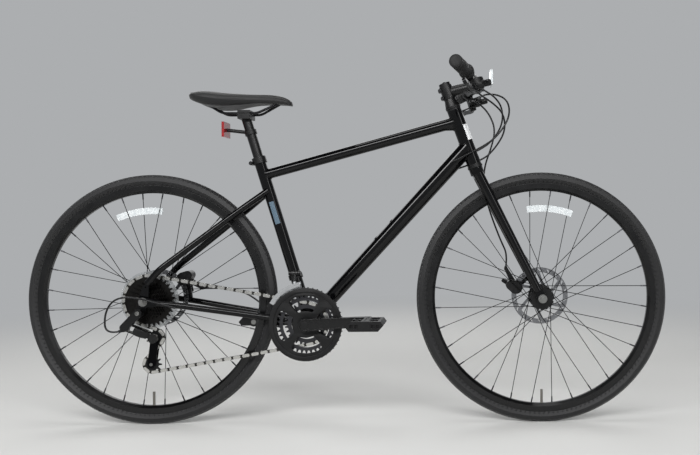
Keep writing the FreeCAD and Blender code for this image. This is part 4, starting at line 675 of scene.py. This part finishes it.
def prism_lens(name, colour, tint):
    """Moulded reflector: clear plastic over a grid of small prisms."""
    made, tree = new_material(name)
    place = add(tree, "ShaderNodeTexCoord").outputs["Object"]
    cells = add(tree, "ShaderNodeTexVoronoi", {"Scale": per_metre(3.0), "Randomness": 0.0}, {"Vector": place})
    tone = mixed(tree, linear(colour), linear(tint), cells.outputs["Color"])
    bump = add(tree, "ShaderNodeBump", {"Strength": 0.3, "Distance": 0.0004}, {"Height": cells.outputs["Distance"]})
    settings = {"Roughness": 0.18, "Coat Weight": 1.0, "Coat Roughness": 0.03, "IOR": 1.49}
    surfaced(tree, settings, {"Base Color": tone, "Normal": bump.outputs["Normal"]})
    return made


white_lens = prism_lens("clear reflector acrylic", "#e8ebec", "#bfc6c9")
spoke_least, rim_reach = 0.2, 0.28
tip_depth, root_depth = 0.002, 0.004
nipple_length, nipple_radius, nipple_mouth = 0.0160, 0.0019, 0.0012
for end, axle in (("front", front_axle), ("rear", rear_axle)):
    lacing, clip = split(
        end + "_spokes",
        **{
            end + "_spoke_set": lambda centre, size: size.length > spoke_least,
            end + "_wheel_reflector": lambda centre, size: size.length <= spoke_least,
        },
    )
    paint(lacing, spoke_steel)
    paint(clip, white_lens)
    whole, solids = loose(end + "_spokes")
    nipples = bmesh.new()
    for solid in solids:
        corners = [vert.co for face in solid for vert in face.verts]
        reach = [(corner - axle).length for corner in corners]
        tips = [c for c, r in zip(corners, reach) if r > max(reach) - tip_depth]
        roots = [c for c, r in zip(corners, reach) if r < min(reach) + root_depth]
        tip = sum(tips, Vector()) / len(tips)
        run = (tip - sum(roots, Vector()) / len(roots)).normalized()
        if max(reach) > rim_reach:
            profile = [(-nipple_length, nipple_mouth), (0.001 - nipple_length, nipple_radius), (0, nipple_radius)]
            rings_mesh(turned(tip, run, profile, count=8), nipples)
    whole.free()
    paint(piece(end + "_nipples", nipples, end + "_wheel"), nipple_brass)


# Hubs: forged aluminium shells, black anodised, with a clear plastic disc that keeps the chain off the spokes.
# The axles are steel, with nuts outside the fork ends and dropouts.
clear_plastic, tree = new_material("clear protector polycarbonate")
place = add(tree, "ShaderNodeTexCoord").outputs["Object"]
scuffs = add(tree, "ShaderNodeTexNoise", {"Scale": per_metre(8), "Detail": 6.0}, {"Vector": place})
haze = add(tree, "ShaderNodeMapRange", {"To Min": 0.1, "To Max": 0.35}, {"Value": scuffs.outputs["Fac"]})
disc = {"Base Color": linear("#b9bcbd"), "IOR": 1.58, "Transmission Weight": 0.75, "Alpha": 0.55}
surfaced(tree, disc, {"Roughness": haze.outputs["Result"]})
shell_least = 0.02
hub, protector = split(
    "rear_hub",
    rear_hub_shell=lambda centre, size: size.y > shell_least,
    spoke_protector=lambda centre, size: size.y <= shell_least,
)
paint(hub, anodised)
paint(protector, clear_plastic)
axle_steel = bare_metal("zinc plated axle steel", "#9a9a98", 0.3, 0.4, (1, 1, 1))
dress(axle_steel, "front_axle", "rear_axle")


# Rotors: laser-cut stainless steel discs, brushed round by the pads, on six screws.
# The pads polish the outer track along its circles.
def rotor_steel(name, axle):
    """Stainless steel with streaks that circle the axle."""
    made, tree = new_material(name)
    place = add(tree, "ShaderNodeTexCoord").outputs["Object"]
    local = add(tree, "ShaderNodeVectorMath", {"operation": "SUBTRACT", 1: axle}, {0: place})
    radius = add(tree, "ShaderNodeVectorMath", {"operation": "LENGTH"}, {0: local.outputs["Vector"]})
    streaks = add(
        tree,
        "ShaderNodeTexNoise",
        {"noise_dimensions": "1D", "Scale": per_metre(0.8), "Detail": 4.0},
        {"W": radius.outputs["Value"]},
    )
    rough = add(tree, "ShaderNodeMapRange", {"To Min": 0.18, "To Max": 0.42}, {"Value": streaks.outputs["Fac"]})
    tone = mixed(tree, linear("#77787b"), linear("#98999c"), streaks.outputs["Fac"])
    surfaced(tree, {"Metallic": 1.0}, {"Base Color": tone, "Roughness": rough.outputs["Result"]})
    return made


dress(rotor_steel("front rotor stainless", front_axle), "front_rotor")
dress(rotor_steel("rear rotor stainless", rear_axle), "rear_rotor")


# Drive train: forged crank arms painted black on steel spindles, stamped steel rings and blackened sprockets.
# The chain has bright nickelled outer plates; its inner links are painted dark, as painted shade in the gaps between
# the outer plates. Its lower run goes through the derailleur's cage.
# The pedals are moulded nylon.
ring_steel = bare_metal("phosphated ring steel", "#4a4a4d", 0.34, 0.5, (1, 1, 1))
cog_steel = bare_metal("blackened sprocket steel", "#2a2928", 0.3, 0.5, (1, 1, 1))
chain_steel = bare_metal("nickelled chain steel", "#d2d1cd", 0.26, 0.4, (1, 1, 1))
cage_steel = bare_metal("black cage steel", "#141416", 0.34, 0.4, (0.15, 1, 1))
crank_gloss = {"Coat Weight": 0.4, "Specular IOR Level": 0.15}
crank_paint = coated("black crank paint", "#060607", 0.28, 1.5, 0.02, 1.4, **crank_gloss)
spindle_thin, spindle_thick, spindle_round = 0.012, 0.018, 0.0005
dress(crank_paint, "derailleur_body", "derailleur_link", "derailleur_knuckle")


def is_spindle(size):
    """True for a round steel axle that lies across the bicycle."""
    return abs(size.x - size.z) < spindle_round and spindle_thin < size.x < spindle_thick


for word in ("right", "left"):
    arm, spindle = split(
        "crank_arm_" + word,
        **{
            word + "_crank": lambda centre, size: not is_spindle(size),
            word + "_spindles": lambda centre, size: is_spindle(size),
        },
    )
    paint(arm, crank_paint)
    paint(spindle, axle_steel)
dress(ring_steel, "chainrings")
dress(cage_steel, "derailleur_cage")
dress(cog_steel, "freewheel_cogs")
# The inner links' dark colour is painted shade: it stands for the shade in the gaps between the outer plates.
gap_shade_link_steel = bare_metal("inner link steel painted dark for gap shade", "#3f3e3b", 0.35, 0.4, (1, 1, 1))
chain_cage, chain_knuckle = "derailleur_cage_body", "derailleur_knuckle_body"
pulley_front, run_front, run_top = -0.515, -0.300, 0.262
plate_most = 0.003


def chain_part(centre, size):
    """Which stretch of the chain a link lies on, and whether it is an outer plate or an inner link."""
    kind = "outer_plates" if size.y < plate_most else "inner_links"
    if centre.z > run_top or centre.x > run_front:
        return "chain_" + kind
    return ("pulley_" if centre.x < pulley_front else "lower_run_") + kind


chain_bodies = {"lower_run_outer_plates": None, "lower_run_inner_links": None}
chain_bodies.update({"pulley_outer_plates": chain_cage, "pulley_inner_links": chain_cage})
for stretch in ("chain_", "lower_run_", "pulley_"):
    for kind, steel in (("outer_plates", chain_steel), ("inner_links", gap_shade_link_steel)):
        name = stretch + kind
        (links,) = split("chain", chain_bodies, **{name: lambda *place: chain_part(*place) == name})
        paint(links, steel)
        if stretch == "lower_run_":
            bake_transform(links)
dress(nylon, "pedal_right", "pedal_left")
dress(anodised, "front_derailleur")


# Crank trim: each forged arm has a raised edge round a sunk face, and a plug over its bolt.
# The edge is one forging with the arm; the plug is pressed nylon.
def plate_piece(name, loops, y, thickness, chamfer, body):
    """Flat plate from closed (x, z) outlines in millimetres, the inner ones being windows."""
    outline = bpy.data.curves.new(name, "CURVE")
    outline.dimensions = "2D"
    outline.fill_mode = "BOTH"
    outline.extrude = thickness / 2 - chamfer
    outline.bevel_depth = chamfer
    outline.bevel_resolution = 1
    outline.offset = -chamfer
    for loop in loops:
        spline = outline.splines.new("POLY")
        spline.points.add(len(loop) - 1)
        for point, (x, z) in zip(spline.points, loop):
            point.co = (x, z, 0, 1)
        spline.use_cyclic_u = True
    holder = bpy.data.objects.new(name, outline)
    bpy.context.scene.collection.objects.link(holder)
    shape = bmesh.new()
    shape.from_mesh(bpy.data.meshes.new_from_object(holder))
    bpy.data.objects.remove(holder)
    bmesh.ops.remove_doubles(shape, verts=shape.verts, dist=0.001)
    for vert in shape.verts:
        vert.co = (vert.co.x / 1000, (y - vert.co.z) / 1000, vert.co.y / 1000)
    return piece(name, shape, body)


def ring_loop(radius, count=96):
    """Circle about the crank's axis."""
    turns = [2 * math.pi * k / count for k in range(count)]
    return [(1000 * bracket.x + radius * math.cos(t), 1000 * bracket.z + radius * math.sin(t)) for t in turns]


def strap_loop(start, end, radius_start, radius_end):
    """Outline of a flat bar with round ends."""
    lean = math.atan2(end[1] - start[1], end[0] - start[0])
    spread = math.acos((radius_start - radius_end) / math.dist(start, end))
    loop = []
    for k in range(end_steps + 1):
        turn = lean + spread + (2 * math.pi - 2 * spread) * k / end_steps
        loop.append((start[0] + radius_start * math.cos(turn), start[1] + radius_start * math.sin(turn)))
    for k in range(end_steps + 1):
        turn = lean - spread + 2 * spread * k / end_steps
        loop.append((end[0] + radius_end * math.cos(turn), end[1] + radius_end * math.sin(turn)))
    return loop


crank_turn = math.radians(3)
crank_reach = 175
arm_outer = 79
end_steps = 24
edge_outer, edge_inner = (16.6, 12.6), (13.0, 9.0)
edge_rise, edge_thick, edge_chamfer = 0.3, 1.8, 0.5
plug_profile = [(-0.001, 0.0105), (0.0008, 0.0105), (0.0016, 0.0094)]
for side, word in ((-1, "right"), (1, "left")):
    start = (1000 * bracket.x, 1000 * bracket.z)
    end = (start[0] - side * crank_reach * math.cos(crank_turn), start[1] - side * crank_reach * math.sin(crank_turn))
    loops = [strap_loop(start, end, *edge_outer), strap_loop(start, end, *edge_inner)]
    face = side * (arm_outer + edge_rise)
    edge = plate_piece(word + "_crank_edge", loops, face, edge_thick, edge_chamfer, "crank")
    paint(edge, crank_paint)
    plug = turned((bracket.x, side * arm_outer / 1000, bracket.z), (0, side, 0), plug_profile)
    paint(piece(word + "_crank_plug", rings_mesh(plug), "crank"), nylon)


# Chain guard: a moulded nylon disc with four wide windows between its arms and a stepped rim.
# It is screwed to the big ring's tabs and hides the spider.
guard_plate_y = -60.6
guard_rim_y = -61.7
guard_thick, guard_chamfer = 2.6, 0.6
guard_rim_thick, guard_rim_chamfer = 4.4, 1.4
guard_outer, guard_hole = 99.0, 18.2
guard_rim_outer, guard_rim_inner = 99.8, 87.0
window_count, window_steps, window_corner = 4, 64, 0.3
window_middle, window_half, window_swing = 57.5, 21, 34
windows = []
for k in range(window_count):
    loop = []
    for j in range(window_steps):
        turn = 2 * math.pi * j / window_steps
        wide, high = math.cos(turn), math.sin(turn)
        swing = math.copysign(abs(wide) ** window_corner, wide) * math.radians(window_swing)
        reach = window_middle + window_half * math.copysign(abs(high) ** window_corner, high)
        angle = crank_turn + math.radians(360 / window_count * k) + swing
        loop.append((1000 * bracket.x + reach * math.cos(angle), 1000 * bracket.z + reach * math.sin(angle)))
    windows.append(loop)
loops = [ring_loop(guard_outer), ring_loop(guard_hole)] + windows
guard = plate_piece("guard_disc", loops, guard_plate_y, guard_thick, guard_chamfer, "crank")
loops = [ring_loop(guard_rim_outer), ring_loop(guard_rim_inner)]
guard_rim = plate_piece("guard_rim", loops, guard_rim_y, guard_rim_thick, guard_rim_chamfer, "crank")
for made in (guard, guard_rim):
    paint(made, nylon)
    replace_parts(made, "chain_guard")


# Derailleurs: painted aluminium parallelogram with a broad outer link, and a plated cage below a black arm.
# Each swings on steel pins; the front cage is bright where it guides the chain.
upper_pin = Vector(joints["derailleur_swing"]["pos_m"])
lower_pin = Vector(joints["derailleur_level"]["pos_m"])
link_axis = Vector(joints["derailleur_swing"]["axis"])
link_dir = (lower_pin - upper_pin).normalized()
link_out = link_axis.cross(link_dir)
link_offset, link_corner, link_steps = 0.0105, 0.6, 24
link_sections = [
    (17, 7.5, 2.6), (19, 9.6, 3.8), (30, 11.2, 4.6), (42, 11.0, 4.6), (54, 9.2, 4.0), (59, 6.5, 2.4),
]
rings = []
for along, tall, deep in link_sections:
    centre = upper_pin + link_dir * along / 1000 + link_out * link_offset
    ring = []
    for k in range(link_steps):
        turn = 2 * math.pi * k / link_steps
        wide, high = math.cos(turn), math.sin(turn)
        rise = math.copysign(abs(wide) ** link_corner, wide) * tall
        bulge = math.copysign(abs(high) ** link_corner, high) * deep
        ring.append(centre + (link_axis * rise + link_out * bulge) / 1000)
    rings.append(ring)
outer_link = piece("derailleur_outer_link", rings_mesh(rings), "derailleur_link_body", sharp=50)
paint(outer_link, crank_paint)
hanger_place, hanger_head = (-0.547, -0.0955, 0.319), 0.0058
pulley_place, pulley_head = (-0.533, -0.0392, 0.172), 0.0042
screws("hanger_bolt", "frame", axle_steel, [(hanger_place, (0, -1, 0), hanger_head)])
screws("pulley_bolt", "derailleur_cage_body", axle_steel, [(pulley_place, (0, -1, 0), pulley_head)])

cage_foot = 0.396
plated, tree = new_material("plated cage under black arm")
place = add(tree, "ShaderNodeTexCoord").outputs["Object"]
level = add(tree, "ShaderNodeSeparateXYZ", links={"Vector": place}).outputs["Z"]
dark = add(tree, "ShaderNodeMapRange", {"From Min": cage_foot, "From Max": cage_foot + 0.001}, {"Value": level})
streaks = add(tree, "ShaderNodeTexNoise", {"Scale": per_metre(0.6), "Detail": 3.0}, {"Vector": place})
bright = mixed(tree, linear("#b9bbbd"), linear("#d6d7d8"), streaks.outputs["Fac"])
tone = add(
    tree,
    "ShaderNodeMix",
    {"data_type": "RGBA", "B": linear("#09090a")},
    {"Factor": dark.outputs["Result"], "A": bright},
)
shine = add(tree, "ShaderNodeMath", {"operation": "SUBTRACT", 0: 1.0}, {1: dark.outputs["Result"]})
rough = add(tree, "ShaderNodeMapRange", {"To Min": 0.22, "To Max": 0.4}, {"Value": streaks.outputs["Fac"]})
links = {"Metallic": shine.outputs["Value"], "Roughness": rough.outputs["Result"]}
surfaced(tree, {}, {"Base Color": tone.outputs["Result"], **links})
dress(plated, "front_derailleur_cage")


# Reflectors: black nylon brackets clamped on the bar and the seatpost, with pressed-in acrylic lenses.
# The rear lens is red and the front one clear.
red_lens = prism_lens("red reflector acrylic", "#a01418", "#6d0a0e")
lens_most = 0.012
for node, lens, slot_name in (
    ("front_reflector", white_lens, "white_lens"),
    ("rear_reflector", red_lens, "red_lens"),
):
    face, bracket_piece = split(
        node,
        **{
            node + "_lens": lambda centre, size: size.x < lens_most,
            node + "_bracket": lambda centre, size: size.x >= lens_most,
        },
    )
    paint(face, lens)
    paint(bracket_piece, nylon)


# Cables: steel wire in black plastic housing, 5 mm across, held by the barrels, frame ports and caliper stops.
# The housings that cross the steering are fixed curves between the bars and the frame, riding on no body.
housing_radius = 0.0025
housing = coated("black cable housing", "#08080a", 0.35, 1.0, 0.02, 0.2, **{"Specular IOR Level": 0.35})


def cable(name, route, body):
    """Round housing on a smooth line through its route, given in millimetres."""
    line = bpy.data.curves.new(name + "_line", "CURVE")
    line.dimensions = "3D"
    line.resolution_u = 10
    spline = line.splines.new("NURBS")
    spline.points.add(len(route) - 1)
    for point, place in zip(spline.points, route):
        point.co = (*(c / 1000 for c in place), 1)
    spline.order_u = 3
    spline.use_endpoint_u = True
    thin = skinned(name + "_middle", line)
    bpy.data.objects.remove(thin)
    line.bevel_depth = housing_radius
    line.bevel_resolution = 4
    line.use_fill_caps = True
    made = skinned(name, line)
    if body:
        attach(made, body)
    else:
        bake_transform(made)
    paint(made, housing)
    return made


rear_shift_route = [
    (369.6, -125.5, 917.6), (373.4, -108.2, 917.1), (384.7, -64, 914.2), (412.7, -22, 905.2), (436.7, 14, 880.2),
    (439.7, 36, 836.2), (414.7, 42, 793.2), (378.7, 38, 762.2), (294.6, 24.7, 723.4),
]
rear_brake_route = [
    (353.2, -129.3, 913.0), (356.5, -109.9, 912.1), (373.7, -76, 900.2), (408.7, -38, 884.2), (440.7, -4, 858.2),
    (445.7, 16, 812.2), (419.7, 30, 768.2), (379.7, 34, 728.2), (287.1, 24.3, 700.4),
]
front_shift_route = [
    (369.6, 125.5, 917.6), (373.4, 108.2, 917.1), (386.7, 62, 922.2), (419.7, 27, 918.2), (451.7, -8, 896.2),
    (456.7, -32, 850.2), (429.7, -42, 802.2), (387.7, -40, 765.2), (294.6, -24.7, 723.4),
]
front_brake_route = [
    (353.2, 129.3, 913.0), (356.5, 109.9, 912.1), (374.7, 84, 899.2), (401.7, 68, 868.2), (419.7, 62, 822.2),
    (407.7, 60, 770.2), (387.7, 62, 718.2), (383.7, 63, 662.2), (395.7, 64, 606.2), (413.7, 64, 552.2),
    (433.7, 63, 500.2), (451.1, 60.4, 463.3), (447.1, 60.4, 429.9),
]
derailleur_route = [
    (-451, -80, 331), (-503, -92.5, 349), (-571, -94.5, 365), (-615, -93.5, 355), (-638, -89.5, 315),
    (-635.3, -89.5, 263.4), (-599.6, -89.5, 270.3),
]
rear_brake_end = [
    (-418.9, 75.4, 371.9), (-367.2, 75.4, 372.9), (-313.2, 67.4, 362.9), (-265.2, 53.4, 337.9), (-229.2, 42.4, 309.9),
]
for name, route, length, body, node in (
    ("rear_shift_cable", rear_shift_route, 0.400, None, "control_cables"),
    ("rear_brake_cable", rear_brake_route, 0.419, None, "control_cables"),
    ("front_shift_cable", front_shift_route, 0.428, None, "control_cables"),
    ("rear_brake_cable_end", rear_brake_end, 0.209, "frame", "control_cables"),
    ("derailleur_housing", derailleur_route, 0.293, "frame", "derailleur_cable"),
    ("front_brake_housing", front_brake_route, 0.553, "steering", "front_brake_cable"),
):
    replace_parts(cable(name, route, body), node)


# Floor and light: a plain pale studio floor under long soft boxes, with light grey walls and a dark ceiling.
# Near the bicycle the floor takes its shadow; further out it runs into the walls without a line.
wall_colour = linear("#acaeb0")
floor_radius = 60
fade_start, fade_end = 1.3, 3.6
floor_shape = bmesh.new()
bmesh.ops.create_circle(floor_shape, cap_ends=True, segments=64, radius=floor_radius)
floor = piece("studio_floor", floor_shape, None)
paper, tree = new_material("pale studio floor")
place = add(tree, "ShaderNodeTexCoord").outputs["Object"]
fibre = add(tree, "ShaderNodeTexNoise", {"Scale": per_metre(3), "Detail": 3.0}, {"Vector": place})
tone = mixed(tree, linear("#d2d2d0"), linear("#d8d8d6"), fibre.outputs["Fac"])
sheet = add(tree, "ShaderNodeBsdfPrincipled", {"Roughness": 0.9}, {"Base Color": tone})
away = add(tree, "ShaderNodeVectorMath", {"operation": "LENGTH"}, {0: place})
far = add(
    tree,
    "ShaderNodeMapRange",
    {"interpolation_type": "SMOOTHSTEP", "From Min": fade_start, "From Max": fade_end},
    {"Value": away.outputs["Value"]},
)
rays = add(tree, "ShaderNodeLightPath")
seen = rays.outputs["Is Camera Ray"]
for ray in ("Is Glossy Ray", "Is Transmission Ray"):
    seen = add(tree, "ShaderNodeMath", {"operation": "MAXIMUM"}, {0: seen, 1: rays.outputs[ray]}).outputs["Value"]
share = add(tree, "ShaderNodeMath", {"operation": "MULTIPLY"}, {0: seen, 1: far.outputs["Result"]})
plain = add(tree, "ShaderNodeEmission", {"Color": wall_colour, "Strength": 1.0})
whole = add(
    tree,
    "ShaderNodeMixShader",
    links={0: share.outputs["Value"], 1: sheet.outputs["BSDF"], 2: plain.outputs["Emission"]},
)
add(tree, "ShaderNodeOutputMaterial", links={"Surface": whole.outputs["Shader"]})
floor.data.materials.append(paper)

world = bpy.data.worlds.new("studio")
bpy.context.scene.world = world
world.use_nodes = True
tree = world.node_tree
tree.nodes.clear()
outward = add(tree, "ShaderNodeTexCoord").outputs["Generated"]
height = add(tree, "ShaderNodeSeparateXYZ", links={"Vector": outward}).outputs["Z"]
ceiling = add(tree, "ShaderNodeMapRange", {"From Min": 0.30, "From Max": 0.55}, {"Value": height})
wall = mixed(tree, wall_colour, linear("#1e1f20"), ceiling.outputs["Result"])
sky = add(tree, "ShaderNodeBackground", {"Strength": 1.0}, {"Color": wall})
add(tree, "ShaderNodeOutputWorld", links={"Surface": sky.outputs["Background"]})


def soft_box(name, at, target, width, height, power):
    """Large area lamp aimed at a place."""
    lamp = bpy.data.lights.new(name, "AREA")
    lamp.shape = "RECTANGLE"
    lamp.size, lamp.size_y = width, height
    lamp.energy = power
    made = bpy.data.objects.new(name, lamp)
    made.location = at
    made.rotation_euler = (Vector(target) - Vector(at)).to_track_quat("-Z", "Y").to_euler()
    bpy.context.scene.collection.objects.link(made)


soft_box("right_box", (-0.4, -2.9, 2.4), (-0.2, 0, 0.5), 5.2, 0.6, 150)
soft_box("left_box", (-0.4, 2.9, 2.2), (-0.2, 0, 0.5), 5.2, 1.6, 50)
soft_box("overhead_box", (0, 0, 4.0), (0, 0, 0), 2.5, 1.5, 40)
soft_box("front_box", (2.6, -2.2, 1.6), (0, 0, 0.5), 0.4, 2.0, 14)


# Camera: at the photograph's place, a little lower than the top of the wheels and square to the bicycle.
# The lens is shifted sideways, which keeps the view square with both wheels in it.
lens = bpy.data.cameras.new("photo_camera")
lens.sensor_width = 36.0
lens.lens = 40.5
lens.shift_x = -0.164
lens.shift_y = -0.018
camera = bpy.data.objects.new("photo_camera", lens)
camera.location = (0.330, -2.2, 0.577)
camera.rotation_euler = (math.radians(90), math.radians(0.37), 0)
bpy.context.scene.collection.objects.link(camera)
bpy.context.scene.camera = camera
bpy.context.scene.view_settings.view_transform = "Standard"
